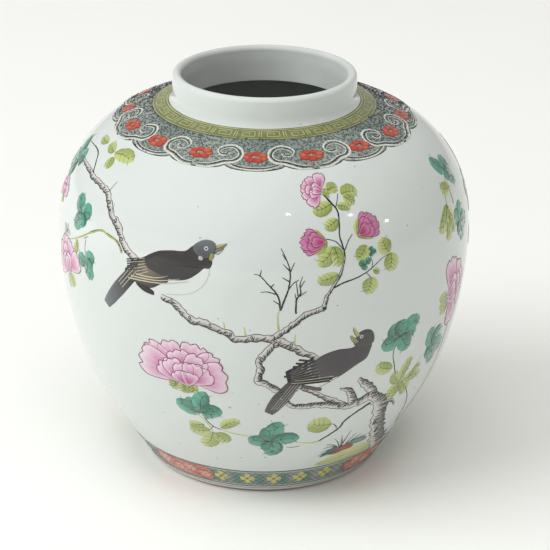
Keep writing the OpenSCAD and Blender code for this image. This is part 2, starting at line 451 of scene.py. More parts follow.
class Sheet:
    """Enamel laid out flat: x is degrees round the jar from its front, z is millimetres proud
    of the glaze, and y is millimetres up the jar, or out from the axis on the shoulder."""

    def __init__(self, from_above=False):
        self.points, self.faces, self.tints = [], [], []
        self.from_above = from_above

    def scale(self, y):
        """Millimetres for one degree, and flat units for one millimetre up the wall."""
        if self.from_above:
            return y * PER_DEGREE, 0.9
        radius, climb = wall_at(min(max(y, 1), 185))
        return radius * PER_DEGREE, climb

    def put(self, x, y, z, tint):
        """Adds one point and its colour."""
        self.points.append((x, y, z))
        self.tints.append((*tint, 1))

    def strip(self, left, right, tint, lift=0.1, across=2, closed=False, on=None):
        """A band between two edges, the left one on the left as it runs. It lies on the bare
        glaze, or on enamel that already stands that proud."""
        edge = SUNK if on is None else on - LAP
        cuts, rise = [0, 0.3, 0.7, 1], [edge, lift, lift, edge]
        if across > 2:
            cuts = [0, *np.linspace(0.03, 0.97, across), 1]
            rise = [edge] + [lift] * across + [edge]
        start, rows, columns = len(self.points), len(left), len(cuts)
        for i in range(rows):
            for cut, high in zip(cuts, rise):
                x, y = left[i] + cut * (right[i] - left[i])
                share = i / (rows - 1)
                self.put(x, y, high, tint(cut * 2 - 1, share) if callable(tint) else tint)
        for i in range(rows if closed else rows - 1):
            here = start + i * columns
            there = start + (i + 1) % rows * columns
            self.faces += [(here + j, here + j + 1, there + j + 1, there + j)
                           for j in range(columns - 1)]
            self.faces.append((here + columns - 1, here, there, there + columns - 1))
        if not closed:
            self.faces.append(tuple(range(start + columns - 1, start - 1, -1)))
            last = start + (rows - 1) * columns
            self.faces.append(tuple(range(last, last + columns)))

    def edges(self, path, width, step=1.0, shake=0.0):
        """The two edges of a brush stroke along a path, its width given at even stations."""
        line = smooth(path, step)
        scales = np.array([self.scale(y) for _, y in line])
        run = np.gradient(line, axis=0)
        way = np.stack([run[:, 0] * scales[:, 0], run[:, 1] / scales[:, 1]], 1)
        way /= np.linalg.norm(way, axis=1)[:, None] + 1e-9
        stations = np.linspace(0, 1, len(line))
        widths = np.atleast_1d(np.array(width, float))
        half = np.interp(stations, np.linspace(0, 1, len(widths)), widths) / 2
        sides = []
        for side in (1, -1):
            far = half * (1 + shake * np.array([brush.uniform(-1, 1) for _ in line]))
            sides.append(line + side * np.stack([-way[:, 1] * far / scales[:, 0],
                                                 way[:, 0] * far * scales[:, 1]], 1))
        return sides

    def stroke(self, path, width, tint, lift=0.12, across=2, step=1.0, shake=0.0, on=None):
        """One pull of the brush along a path."""
        left, right = self.edges(path, width, step, shake)
        self.strip(left, right, tint, lift, across, on=on)

    def blob(self, outline, tint, lift=0.1, centre=None, step=1.2, rings=(1, 0.93, 0.7, 0.4),
             on=None):
        """A filled patch whose outline can all be seen from its centre."""
        edge_z = SUNK if on is None else on - LAP
        edge = smooth(outline, step, closed=True)
        ahead = np.roll(edge, -1, axis=0)
        if (edge[:, 0] * ahead[:, 1] - ahead[:, 0] * edge[:, 1]).sum() < 0:
            edge = edge[::-1]
        centre = edge.mean(0) if centre is None else np.array(centre, float)
        reach = np.abs(edge - centre).max(0)
        start, around = len(self.points), len(edge)
        for k, share in enumerate(rings):
            for spot in edge:
                u, v = (spot - centre) * share / reach
                self.put(*(centre + share * (spot - centre)), lift if k else edge_z,
                         tint(u, v, share) if callable(tint) else tint)
        for high in (lift, edge_z):
            self.put(*centre, high, tint(0, 0, 0) if callable(tint) else tint)
        top, under = len(self.points) - 2, len(self.points) - 1
        inner = start + (len(rings) - 1) * around
        for i in range(around):
            j = (i + 1) % around
            for k in range(len(rings) - 1):
                a, b = start + k * around, start + (k + 1) * around
                self.faces.append((a + i, a + j, b + j, b + i))
            self.faces.append((inner + i, inner + j, top))
            self.faces.append((start + j, start + i, under))

    def fire(self, name, slot, material, *nodes):
        """Lays the sheet on the glaze and keeps it as a finished piece."""
        faces = [f[::-1] for f in self.faces] if self.from_above else self.faces
        mesh = bpy.data.meshes.new(name + "_flat")
        mesh.from_pydata(self.points, [], faces)
        tints = mesh.color_attributes.new("tint", "FLOAT_COLOR", "POINT")
        tints.data.foreach_set("color", np.array(self.tints, np.float32).ravel())
        mesh.shade_smooth()
        flat = bpy.data.objects.new(name + "_flat", mesh)
        piece = grown_from(name, flat, laid_on, glaze=glaze_skin, from_above=self.from_above,
                           material=material)
        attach(piece, "root")
        if nodes:
            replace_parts(piece, *nodes)
        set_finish(piece, slot)
        return piece


# The laying tree drops each flat point on to the glaze, from the side or from above.
laid_on, pen, given = new_tree("laid_on_the_glaze", ("Glaze", "NodeSocketObject"),
                               ("From above", "NodeSocketBool"),
                               ("Material", "NodeSocketMaterial"))
flat = pen.node("ShaderNodeSeparateXYZ", {0: pen.node("GeometryNodeInputPosition")}).socket.node
turn, level, proud = (Link(pen.tree, flat.outputs[axis]) for axis in "XYZ")
out_x = pen.maths("SINE", turn * PER_DEGREE)
out_y = pen.maths("COSINE", turn * PER_DEGREE) * -1
level = level * 0.001
beside = pen.node("ShaderNodeCombineXYZ", {"X": out_x * 0.3, "Y": out_y * 0.3, "Z": level})
inward = pen.node("ShaderNodeCombineXYZ", {"X": out_x * -1, "Y": out_y * -1})
above = pen.node("ShaderNodeCombineXYZ", {"X": out_x * level, "Y": out_y * level, "Z": 0.3})
source, way = (pen.node("GeometryNodeSwitch", {"Switch": given("From above"), "False": low,
                                               "True": high}, input_type="VECTOR")
               for low, high in ((beside, above), (inward, (0, 0, -1))))
target = pen.node("GeometryNodeObjectInfo", {"Object": given("Glaze")}, output="Geometry")
hit = pen.node("GeometryNodeRaycast", {"Target Geometry": target, "Source Position": source,
                                       "Ray Direction": way, "Ray Length": 0.5},
               output="Hit Position")
facing = Link(pen.tree, hit.socket.node.outputs["Hit Normal"])
raised = pen.node("ShaderNodeVectorMath", {0: facing, "Scale": proud * 0.001}, operation="SCALE")
spot = pen.node("ShaderNodeVectorMath", {0: hit, 1: raised}, operation="ADD")
laid = pen.node("GeometryNodeSetPosition", {"Geometry": given("Geometry"), "Position": spot})
close_tree(pen, laid, given("Material"))

brush = random.Random(7)


def between(first, second, share):
    """A colour on the way from one to another."""
    share = min(max(share, 0), 1)
    return tuple(a + (b - a) * share for a, b in zip(first, second))


def enamel(name, wash=0.12, gloss=0.12, coat=0.2):
    """A melted enamel that takes its colour from the tint painted on its points."""
    def colour(pen):
        tint = pen.node("ShaderNodeAttribute", attribute_name="tint", output="Color")
        thin = 1 - wash * pen.noise(3.5, 3.0)
        grey = pen.node("ShaderNodeCombineColor", {0: thin, 1: thin, 2: thin})
        return pen.mix(1.0, tint, grey, "MULTIPLY")
    return fired(name, colour, lambda pen: gloss + 0.12 * pen.noise(1.6),
                 0.05, lambda pen: pen.noise(1.2, 3.0), coat=coat)


OLIVE = tone(126, 130, 84)
OLIVE_DEEP = tone(98, 100, 62)
FRET_GREEN = tone(198, 204, 132)
BAND_WHITE = tone(214, 216, 204)
BAND_GREY = tone(72, 76, 72)
FRET_PALE = tone(178, 182, 138)
FRET_IN = 46.9
FRET_OUT = 55.2
FRETS = 28

fret_enamel = enamel("fret_enamel", 0.2, 0.16)


def ring(sheet, inner, outer, tint, lift, across=4, steps=360, on=None):
    """A band right round the jar between two heights, or two radii on the shoulder."""
    turns = np.linspace(-180, 180, steps, endpoint=False)
    edges = [np.array([(a, side(a) if callable(side) else side) for a in turns])
             for side in (inner, outer)]
    sheet.strip(*edges[::-1], tint, lift, across, closed=True, on=on)


fret_ground = Sheet(from_above=True)
ring(fret_ground, FRET_IN - 0.3, FRET_OUT + 0.3,
     lambda u, v: between(OLIVE, OLIVE_DEEP, 0.4 + 0.5 * math.sin(v * 97) * u), 0.06)
fret_ground.fire("fret_band_ground", "fret_enamel", fret_enamel, "fret_band")

fret_lines = Sheet(from_above=True)
for radius, width, tint in ((FRET_IN + 0.7, 0.45, FRET_GREEN), (FRET_OUT - 0.3, 0.45, BAND_GREY),
                            (FRET_OUT - 0.85, 0.4, FRET_PALE)):
    ring(fret_lines, radius - width / 2, radius + width / 2, tint, 0.1, across=2, on=0.06)
# One squared meander: in and out again along the band, drawn as shares of its pitch and width
KEY = ((0.0, 0.86), (0.62, 0.86), (0.62, 0.14), (0.12, 0.14), (0.12, 0.62), (0.4, 0.62),
       (0.4, 0.4))
fret_from, fret_to = FRET_IN + 1.4, FRET_OUT - 1.8
for i in range(FRETS):
    for path in (KEY, ((0.78, 0.05), (0.78, 0.95)), ((0.88, 0.05), (0.88, 0.95))):
        corners = [((i + x) * 360 / FRETS - 180, fret_from + (1 - y) * (fret_to - fret_from))
                   for x, y in path]
        for first, second in zip(corners, corners[1:]):
            fret_lines.stroke([first, second], 0.42, FRET_GREEN, 0.1, step=2.0, on=0.06)
fret_lines.fire("fret_band_meanders", "fret_enamel", fret_enamel)


# ---- Cloud collar ----
# Sixteen lappets hang from the fretted band. Every second one is a cloud head with a pair of
# white volutes; all carry a coral flower on a grey-green ground dotted with ink curls.

COLLAR_IN = FRET_OUT - 0.9
TIP_R = 74.7
CLEFT_R = 71.7
LAPPETS = 16
FIRST_HEAD = -26.0
LAPPET_TURN = 360 / LAPPETS
CURL_GAP = 1.2

COLLAR_GROUND = tone(158, 168, 160)
COLLAR_DEEP = tone(112, 128, 124)
CURL_INK = tone(44, 50, 54)
CORAL = tone(200, 76, 56)
CORAL_PALE = tone(214, 112, 76)
CORAL_DEEP = tone(148, 44, 36)
VOLUTE_WHITE = tone(222, 224, 214)

collar_enamel = enamel("collar_enamel", 0.3, 0.15)


def collar_edge(turn):
    """Radius of the scalloped lower edge."""
    share = abs((turn - FIRST_HEAD) / LAPPET_TURN - round((turn - FIRST_HEAD) / LAPPET_TURN)) * 2
    return CLEFT_R + (TIP_R - CLEFT_R) * math.sqrt(1 - share ** 2.2)


collar_ground = Sheet(from_above=True)
ring(collar_ground, COLLAR_IN, collar_edge,
     lambda u, v: between(COLLAR_GROUND, COLLAR_DEEP, 0.35 + 0.3 * u + 0.25 * math.sin(v * 40)),
     0.05, across=7, steps=720)
collar_skin = collar_ground.fire("cloud_collar_ground", "collar_enamel", collar_enamel,
                                 "cloud_collar")

# The curl tree strews one small curl over the ground, each turned at random.
strewn, pen, given = new_tree("strewn_curls", ("Curl", "NodeSocketObject"),
                              ("Gap", "NodeSocketFloat"), ("Seed", "NodeSocketInt"),
                              ("Material", "NodeSocketMaterial"))
upward = pen.node("ShaderNodeSeparateXYZ", {0: pen.node("GeometryNodeInputNormal")}, output="Z")
strew = pen.node("GeometryNodeDistributePointsOnFaces", {
    "Mesh": given("Geometry"),
    "Selection": pen.node("FunctionNodeCompare", {0: upward, 1: 0.55}, operation="GREATER_THAN"),
    "Distance Min": given("Gap"), "Density Max": 1600000.0, "Seed": given("Seed")},
    output="Points", distribute_method="POISSON")
upright = Link(pen.tree, strew.socket.node.outputs["Rotation"])
spin = pen.node("FunctionNodeRandomValue", {"Seed": given("Seed"), "Min": 0.0, "Max": 2 * math.pi},
                output="Value", data_type="FLOAT")
spin_node = spin.socket.node
spin = Link(pen.tree, next(s for s in spin_node.outputs if s.type == "VALUE" and s.enabled))
for socket in spin_node.inputs:
    if socket.enabled and socket.name in ("Min", "Max"):
        socket.default_value = 0.0 if socket.name == "Min" else 2 * math.pi
turn_by = pen.node("FunctionNodeAxisAngleToRotation", {"Axis": (0, 0, 1), "Angle": spin})
turned = pen.node("FunctionNodeRotateRotation", {"Rotation": upright, "Rotate By": turn_by},
                  rotation_space="LOCAL")
curl_info = pen.node("GeometryNodeObjectInfo", {"Object": given("Curl")}, output="Geometry")
curls = pen.node("GeometryNodeInstanceOnPoints", {"Points": strew, "Instance": curl_info,
                                                  "Rotation": turned})
close_tree(pen, curls, given("Material"))


def solid_curl(radius, width, height):
    """A hooked brush mark in metres, three-sided in section, that curls round its start."""
    points, faces = [], []
    stations = 6
    for i in range(stations):
        share = i / (stations - 1)
        angle = 4.4 * share
        reach = radius * (0.35 + 0.65 * share)
        middle = np.array([math.cos(angle), math.sin(angle)]) * reach
        side = middle / reach * width / 2 * (1 - 0.4 * share)
        for spot, z in ((middle - side, SUNK / 2), (middle, height), (middle + side, SUNK / 2)):
            points.append((spot[0] / 1000, spot[1] / 1000, z / 1000))
    for i in range(stations - 1):
        a, b = 3 * i, 3 * i + 3
        faces += [(a + k, b + k, b + (k + 1) % 3, a + (k + 1) % 3) for k in range(3)]
    last = 3 * (stations - 1)
    faces += [(0, 1, 2), (last + 2, last + 1, last)]
    return points, [], [f[::-1] for f in faces]


curl_mesh = bpy.data.meshes.new("curl")
curl_mesh.from_pydata(*solid_curl(0.8, 0.5, 0.18))
curl = bpy.data.objects.new("curl", curl_mesh)
bpy.context.scene.collection.objects.link(curl)


def ink_colour(pen):
    return pen.mix(pen.noise(2.0), CURL_INK, tone(28, 30, 34))


ink_enamel = fired("ink_enamel", ink_colour, lambda pen: 0.28 + 0.2 * pen.noise(1.5),
                   0.03, lambda pen: pen.noise(0.8))
ground_copy = collar_skin.copy()
ground_copy.data = collar_skin.data.copy()
ground_copy.parent = None
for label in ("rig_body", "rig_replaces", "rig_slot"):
    del ground_copy[label]
collar_curls = grown_from("cloud_collar_curls", ground_copy, strewn, curl=curl,
                          gap=CURL_GAP / 1000, seed=5, material=ink_enamel)
bpy.data.objects.remove(curl)
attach(collar_curls, "root")
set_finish(collar_curls, "ink_enamel")

volutes = Sheet(from_above=True)
collar_flowers = Sheet(from_above=True)
PETALS = 7
FLOWER_R = 66.8

for i in range(LAPPETS):
    middle = FIRST_HEAD + i * LAPPET_TURN
    if i % 2 == 0:
        for side in (-1, 1):
            for gap, tint, width in ((0, VOLUTE_WHITE, 1.5), (1.75, VOLUTE_WHITE, 0.75),
                                     (1.1, CURL_INK, 0.55)):
                path = [(middle + side * (1 + gap / 3), TIP_R - 0.35 - gap),
                        (middle + side * (6 - gap / 3), TIP_R - 0.9 - gap),
                        (middle + side * (11 - gap / 2), CLEFT_R - 0.4 - gap),
                        (middle + side * (15.5 - gap), 69.8 - gap * 0.6),
                        (middle + side * (17.4 - gap), 66.0),
                        (middle + side * (16.4 - gap), 62.2 + gap * 0.5),
                        (middle + side * (13.0 - gap * 0.3), 59.8 + gap),
                        (middle + side * (9.0 + gap * 0.4), 60.4 + gap),
                        (middle + side * (6.6 + gap * 0.6), 63.2 + gap * 0.4),
                        (middle + side * (8.2 + gap * 0.2), 66.4 - gap * 0.6),
                        (middle + side * (11.2 - gap * 0.4), 66.6 - gap),
                        (middle + side * (12.0 - gap), 64.4)]
                volutes.stroke(path, [width * 0.5, width, width * 1.2, width, width, width * 0.7,
                                      width * 0.4], tint, 0.2 + 0.03 * (gap == 1.1), step=0.8,
                               on=0.05)
    else:
        for gap, tint, width in ((0, VOLUTE_WHITE, 1.1), (1.25, VOLUTE_WHITE, 0.5),
                                 (0.8, CURL_INK, 0.45)):
            path = [(middle + u * (10.6 - gap / 2), TIP_R - 0.6 - gap - abs(u) ** 2.4 * 2.9)
                    for u in np.linspace(-1, 1, 9)]
            volutes.stroke(path, [width * 0.4, width, width, width * 0.4], tint, 0.2, step=0.9,
                           on=0.05)
    # The coral flower: one ring of round petals about an eye
    for k in range(PETALS):
        angle = math.radians(k * 360 / PETALS + 20 * i)
        spot = np.array([middle + math.cos(angle) * 3.5, FLOWER_R + math.sin(angle) * 2.2])
        wide, high = brush.uniform(1.7, 2.5), brush.uniform(1.4, 1.9)
        collar_flowers.blob([spot + (wide * math.cos(b), high * math.sin(b))
                             for b in np.radians(range(0, 360, 60))],
                            lambda u, v, share, k=k: between(
                                CORAL_PALE if k % 3 == 0 else CORAL, CORAL_DEEP, 0.15 + share ** 2),
                            0.2 + 0.012 * k, rings=(1, 0.8, 0.4))
    collar_flowers.blob([(middle + 1.2 * math.cos(b), FLOWER_R + 0.1 + 0.9 * math.sin(b))
                         for b in np.radians(range(0, 360, 72))],
                        between(CORAL, FRET_GREEN, 0.25), 0.31, rings=(1, 0.7))
# One ink line, half a millimetre wide, runs round just inside the scalloped edge
turns = np.linspace(-180, 180, 720, endpoint=False)
edge_line = np.array([(a, collar_edge(a) - 0.25) for a in turns])
volutes.strip(edge_line + (0, 0.25), edge_line - (0, 0.25), CURL_INK, 0.1, closed=True, on=0.05)
volutes.fire("cloud_collar_volutes", "collar_enamel", collar_enamel)
coral_enamel = enamel("coral_enamel", 0.25, 0.12)
collar_flowers.fire("cloud_collar_flowers", "coral_enamel", coral_enamel)


# ---- Foot border ----
# A band of lozenge diaper with small yellow flowers, broken by four coral panels that hold a
# spray each. It is ruled off with ink and white lines above the bare foot.

BORDER_LOW = 4.3
BORDER_TOP = 17.2
PANEL_MIDDLE = -37.0
PANEL_HALF = 16.0
PANELS = 4
FLOWER_TURN = 11.4
FIRST_FLOWER = 19
FLOWERS = 5
FLOWER_Z = 10.9
SPRAY_Z = 10.8
LOZENGES = 126
LOZENGE_LEAN = 8.6

BORDER_GREY = tone(176, 166, 168)
BORDER_TEAL = tone(92, 140, 128)
BORDER_YELLOW = tone(214, 206, 96)

border_enamel = enamel("border_enamel", 0.25, 0.14)
border_ground = Sheet()
ring(border_ground, BORDER_LOW, BORDER_TOP,
     lambda u, v: between(BORDER_GREY, BORDER_TEAL,
                          0.5 + 0.7 * math.sin(v * 230) * math.cos(u * 2)),
     0.05, across=5)
border_ground.fire("foot_border_ground", "border_enamel", border_enamel, "foot_border")

diaper = Sheet()
for height, width, tint in ((BORDER_TOP - 0.3, 0.6, BAND_GREY), (BORDER_TOP - 1.3, 0.35, BAND_WHITE),
                            (BORDER_LOW + 0.3, 0.6, BAND_GREY), (BORDER_LOW + 1.3, 0.35, BAND_WHITE),
                            (3.2, 0.35, BAND_GREY)):
    ring(diaper, height - width / 2, height + width / 2, tint, 0.1, across=2,
         on=0.05 if height > BORDER_LOW else None)
border_from, border_to = BORDER_LOW + 1.7, BORDER_TOP - 1.7
for i in range(LOZENGES):
    for lean in (-1, 1):
        start = -180 + i * 360 / LOZENGES
        diaper.stroke([(start, border_from), (start + lean * LOZENGE_LEAN, border_to)], 0.42,
                      BAND_GREY if lean > 0 else between(BAND_GREY, BORDER_TEAL, 0.5), 0.14,
                      step=1.5, on=0.05)
border_flowers = Sheet()
panels = Sheet()
for k in range(PANELS):
    middle = PANEL_MIDDLE + k * 360 / PANELS
    cup = [(middle + PANEL_HALF * u, (border_from + border_to) / 2 + v * 5.2)
           for u, v in ((-1, 0), (-0.93, 0.62), (-0.8, 1), (-0.4, 1), (0, 1), (0.4, 1), (0.8, 1),
                        (0.93, 0.62), (1, 0), (0.93, -0.62), (0.8, -1), (0.4, -1), (0, -1),
                        (-0.4, -1), (-0.8, -1), (-0.93, -0.62))]
    panels.blob(cup, lambda u, v, share: between(tone(228, 150, 122), CORAL, 0.45 + 0.4 * math.sin(
        9 * u + 5 * v)), 0.12)
    panels.stroke([*cup, cup[0]], 0.4, CORAL_DEEP, 0.17)
    for u, side in ((-0.6, 1), (-0.15, -1), (0.3, 1), (0.7, -1)):
        spot = (middle + u * PANEL_HALF, SPRAY_Z + side * 0.9)
        for angle in np.radians(range(0, 360, 72)):
            heart = (spot[0] + 1.6 * math.cos(angle), spot[1] + 1.5 * math.sin(angle))
            panels.blob([(heart[0] + 1.3 * math.cos(b), heart[1] + 1.3 * math.sin(b))
                         for b in np.radians(range(0, 360, 72))],
                        between(CORAL_PALE, VOLUTE_WHITE, 0.4), 0.17, rings=(1, 0.7))
        panels.stroke([(spot[0] - 4.5, SPRAY_Z - side * 2), (spot[0] - 1.5, SPRAY_Z - side),
                       (spot[0] + 2.5, SPRAY_Z - side * 2.6)], [0.2, 0.6, 0.2], CORAL_DEEP, 0.15)
    for j in range(FLOWERS):
        spot = middle + FIRST_FLOWER + j * FLOWER_TURN
        for quarter in range(4):
            angle = math.radians(90 * quarter)
            heart = (spot + 1.9 * math.cos(angle), FLOWER_Z + 2.3 * math.sin(angle))
            border_flowers.blob([(heart[0] + 1.5 * math.cos(b), heart[1] + 2.0 * math.sin(b))
                                 for b in np.radians(range(0, 360, 60))],
                                lambda u, v, share: between(BORDER_YELLOW, FRET_GREEN, share ** 3),
                                0.13 + 0.01 * quarter, rings=(1, 0.75))
            leaf_way = angle + math.pi / 4
            border_flowers.stroke([(spot + wide * math.cos(leaf_way),
                                    FLOWER_Z + high * math.sin(leaf_way))
                                   for wide, high in ((1.6, 2), (3.4, 4.2))],
                                  [1.4, 0.3], BORDER_TEAL, 0.11)
        border_flowers.blob([(spot + 0.7 * math.cos(b), FLOWER_Z + 0.8 * math.sin(b))
                             for b in np.radians(range(0, 360, 72))], CORAL, 0.2, rings=(1, 0.7))
diaper.fire("foot_border_diaper", "border_enamel", border_enamel)
border_flowers.fire("foot_border_flowers", "border_enamel", border_enamel)
panels.fire("foot_border_panels", "coral_enamel", coral_enamel)


# ---- Painted garden ----
# Two magpies sit in a flowering tree that grows from a bank on the right. The painter draws
# the outlines and hatching in ink first, then fills them with translucent enamels: rose,
# turquoise, yellow-green and white, shaded wet from dark to pale.

INK = tone(24, 22, 26)
BARK_PALE = tone(218, 216, 210)
BARK_DARK = tone(98, 90, 88)
LEAF_PALE = tone(196, 206, 132)
LEAF_DEEP = tone(134, 152, 62)
TEAL_PALE = tone(88, 168, 142)
TEAL_DEEP = tone(22, 92, 74)
ROSE_PALE = tone(232, 210, 222)
ROSE_MID = tone(206, 136, 176)
ROSE_DEEP = tone(184, 74, 124)
MAGENTA = tone(160, 42, 98)
ROSE_LINE = tone(138, 58, 96)
PLUMAGE = tone(46, 43, 43)
PLUMAGE_GREY = tone(108, 112, 116)
CREAM = tone(206, 198, 170)
SEPAL_LINE = tone(98, 112, 52)
LEAF_LINE = tone(66, 76, 40)
BANK_PALE = tone(208, 214, 152)
BANK_DEEP = tone(164, 178, 98)
LEAF_BEND = 0.08

bark = Sheet()
ink = Sheet()
twigs = Sheet()
green = Sheet()
teal = Sheet()
rose = Sheet()
veins = Sheet()
rose_lines = Sheet()
birds = Sheet()
feathers = Sheet()
bank = Sheet()


def from_local(spot, dx, dy):
    """A flat point that lies dx and dy millimetres from another on the wall."""
    per_degree, climb = green.scale(spot[1])
    return np.array([spot[0] + dx / per_degree, spot[1] + dy * climb])


def to_local(spot, other):
    """How many millimetres across and up another flat point lies from this one."""
    per_degree, climb = green.scale(spot[1])
    return np.array([(other[0] - spot[0]) * per_degree, (other[1] - spot[1]) / climb])


def disc(sheet, middle, wide, high, tint, lift, on=None):
    """A small round or oval dab, sized in millimetres."""
    sheet.blob([from_local(middle, wide / 2 * math.cos(a), high / 2 * math.sin(a))
                for a in np.radians(range(0, 360, 60))], tint, lift, rings=(1, 0.6), on=on)


def bough(path, width, hatching=1.0):
    """A branch: pale bark with knobbly inked edges, slanting hatching on its shaded side and
    ringed knots."""
    left, right = bark.edges(path, np.array(width) * 0.94, 1.6, 0.3)
    bark.strip(left, right, lambda u, v: between(BARK_PALE, BARK_DARK, 0.15 + 0.9 * u), 0.09, 4)
    for edge, thick in ((left, 0.42), (right, 0.68)):
        ink.strip(*ink.edges(edge, [0.3, thick, thick, thick, 0.3], 0.9, 0.5), INK, 0.13)
    count = len(left)
    for i in range(1, count - 2):
        reach = right[i] - left[i]
        dense = brush.uniform(0.4, 2.6)
        for _ in range(round(hatching * dense)):
            start = right[i] - reach * brush.uniform(-0.05, 0.3)
            far = left[min(i + brush.choice((1, 1, 2)), count - 1)]
            end = start + (far - start) * brush.uniform(0.25, 0.8)
            ink.stroke([start, (start + end) / 2 + (end - start)[::-1] * 0.06, end],
                       [0.7, 0.5, 0.16], INK, 0.13, step=1.5, on=0.09)
    for i in range(3, count - 3, 6):
        heart = left[i] + (right[i] - left[i]) * brush.uniform(0.3, 0.6)
        size = min(np.linalg.norm(to_local(left[i], right[i])) * 0.5, 2.0)
        if size > 0.9:
            disc(ink, heart, size, size * 1.2, INK, 0.14, 0.09)
            disc(bark, heart, size * 0.5, size * 0.62, BARK_PALE, 0.16, 0.13)


def twig(path, width, tint=INK):
    """A thin twig, stalk or blade in one unsteady stroke."""
    twigs.stroke(path, np.array(width) * 1.25, tint, 0.11, shake=0.2)


def leaf(base, tip, width, pale, deep, sheet, line=INK, side_veins=3, lift=0.1):
    """A leaf or a lobe: a filled shape, darker on one side, with a midrib and side veins."""
    way = to_local(base, tip)
    normal = np.array([-way[1], way[0]])
    middle = from_local(base, *(way * 0.5 + normal * LEAF_BEND))
    shade = brush.choice((-1, 1))
    widths = np.array([0.2, 0.78, 1.04, 1.12, 1.04, 0.74, 0.12]) * width
    sheet.stroke([base, middle, tip], widths,
                 lambda u, v: between(pale, deep, 0.35 + 0.55 * shade * u + 0.5 * (0.5 - v)),
                 lift, across=4, step=0.9, shake=0.05)
    veins.stroke([base, middle, from_local(base, *(way * 0.86))], [0.42, 0.34, 0.14], line,
                 lift + 0.03, step=1.5, on=lift)
    for k in range(side_veins):
        share = 0.3 + 0.42 * k / max(side_veins - 1, 1)
        for side in (-1, 1):
            root = from_local(base, *(way * share + normal * LEAF_BEND * 0.8))
            end = from_local(base, *(way * (share + 0.2) + side * normal * 0.42 * width
                                     / (np.linalg.norm(way) + 0.1)))
            veins.stroke([root, end], [0.32, 0.1], line, lift + 0.03, step=2, on=lift)


def teal_leaf(heart, tips, width):
    """A lobed turquoise leaf: its lobes run from one heart."""
    for k, tip in enumerate(tips):
        leaf(heart, tip, width * 1.08, TEAL_PALE, TEAL_DEEP, teal, side_veins=2,
             lift=0.1 + 0.015 * k)


def green_leaf(base, tip, width):
    """A plain yellow-green leaf."""
    leaf(base, tip, width * 1.15, LEAF_PALE, LEAF_DEEP, green, LEAF_LINE)


# Half of a petal's outline, as shares of its width and length: the tip is scalloped
PETAL_SIDE = ((0.13, 0.0), (0.34, 0.3), (0.5, 0.66), (0.44, 0.88), (0.27, 0.96), (0.2, 0.9))


def petal(base, tip, width, layer, pale=ROSE_PALE, mid=ROSE_MID, deep=ROSE_DEEP):
    """A petal: narrow and deep at its base, pale at its scalloped tip, with a fine outline."""
    way = to_local(base, tip)
    across = np.array([-way[1], way[0]]) / (np.linalg.norm(way) + 1e-6) * width
    shape = [*PETAL_SIDE, (0.0, 1.02), *((-x, y) for x, y in PETAL_SIDE[::-1])]
    outline = [from_local(base, *(way * y * (1 + brush.uniform(-0.03, 0.03))
                                  + across * x * brush.uniform(0.92, 1.08))) for x, y in shape]
    lift = 0.1 + 0.02 * layer
    rose.blob(outline, lambda u, v, share: between(between(deep, mid, share * 2.0), pale,
                                                   (share - 0.45) * 1.9),
              lift, centre=from_local(base, *(way * 0.16)), step=1.1,
              rings=(1, 0.94, 0.75, 0.55, 0.35, 0.18))
    rose_lines.stroke(outline, [0.2, 0.38, 0.38, 0.38, 0.2], ROSE_LINE, lift + 0.03,
                      step=1.1, shake=0.35, on=lift)
    for share in (-0.3, -0.05, 0.22):
        rib = [from_local(base, *(way * v + across * share * v)) for v in (0.12, 0.4, 0.66)]
        rose_lines.stroke(rib, [0.32, 0.2, 0.06], between(deep, mid, 0.3), lift + 0.02, step=1.5,
                          on=lift)


def peony(middle, size, lean=0.0):
    """A full-blown bloom seen from the side, with its sepals."""
    def spot(x, y):
        turned = (x * math.cos(lean) - y * math.sin(lean), x * math.sin(lean) + y * math.cos(lean))
        return from_local(middle, turned[0] * size, turned[1] * size)
    for k, side in enumerate((-0.25, 0.02, 0.24)):
        leaf(spot(side * 0.6, -0.5), spot(side, -0.92 + 0.1 * abs(side)), 0.26 * size, LEAF_PALE,
             LEAF_DEEP, green, SEPAL_LINE, 0)
    for layer, (x0, y0, x1, y1, wide) in enumerate((
            (0.0, 0.1, -0.28, 0.56, 0.62), (0.0, 0.1, 0.3, 0.56, 0.66),
            (-0.1, 0.0, -0.66, 0.36, 0.5), (0.12, 0.0, 0.62, 0.36, 0.54),
            (0.0, -0.1, -0.1, 0.4, 0.52), (-0.2, -0.3, -1.0, -0.08, 0.66),
            (0.2, -0.34, 1.0, -0.14, 0.66), (-0.1, -0.42, -0.32, 0.14, 0.46),
            (0.1, -0.46, 0.24, 0.12, 0.44), (0.0, -0.48, -0.06, 0.06, 0.44))):
        petal(spot(x0, y0), spot(x1, y1), wide * size, layer)


def rosebud(middle, size, lean):
    """A half-open bud: deep petals wrapped round each other over two green sepals."""
    def spot(x, y):
        turned = (x * math.cos(lean) - y * math.sin(lean), x * math.sin(lean) + y * math.cos(lean))
        return from_local(middle, turned[0] * size, turned[1] * size)
    for side in (-1, 1):
        leaf(spot(0, -0.9), spot(side * 0.85, -0.1), 0.42 * size, LEAF_PALE, LEAF_DEEP, green,
             SEPAL_LINE, 0)
    for layer, (x0, y0, x1, y1, wide) in enumerate((
            (0, -0.7, -0.62, 0.72, 0.95), (0, -0.7, 0.62, 0.72, 0.95), (0, -0.7, 0.0, 1.0, 1.1),
            (0, -0.75, -0.34, 0.5, 0.9), (0.05, -0.75, 0.36, 0.4, 0.86), (0, -0.75, 0.0, 0.22, 0.7))):
        petal(spot(x0, y0), spot(x1, y1), wide * size, layer, ROSE_MID, ROSE_DEEP, MAGENTA)


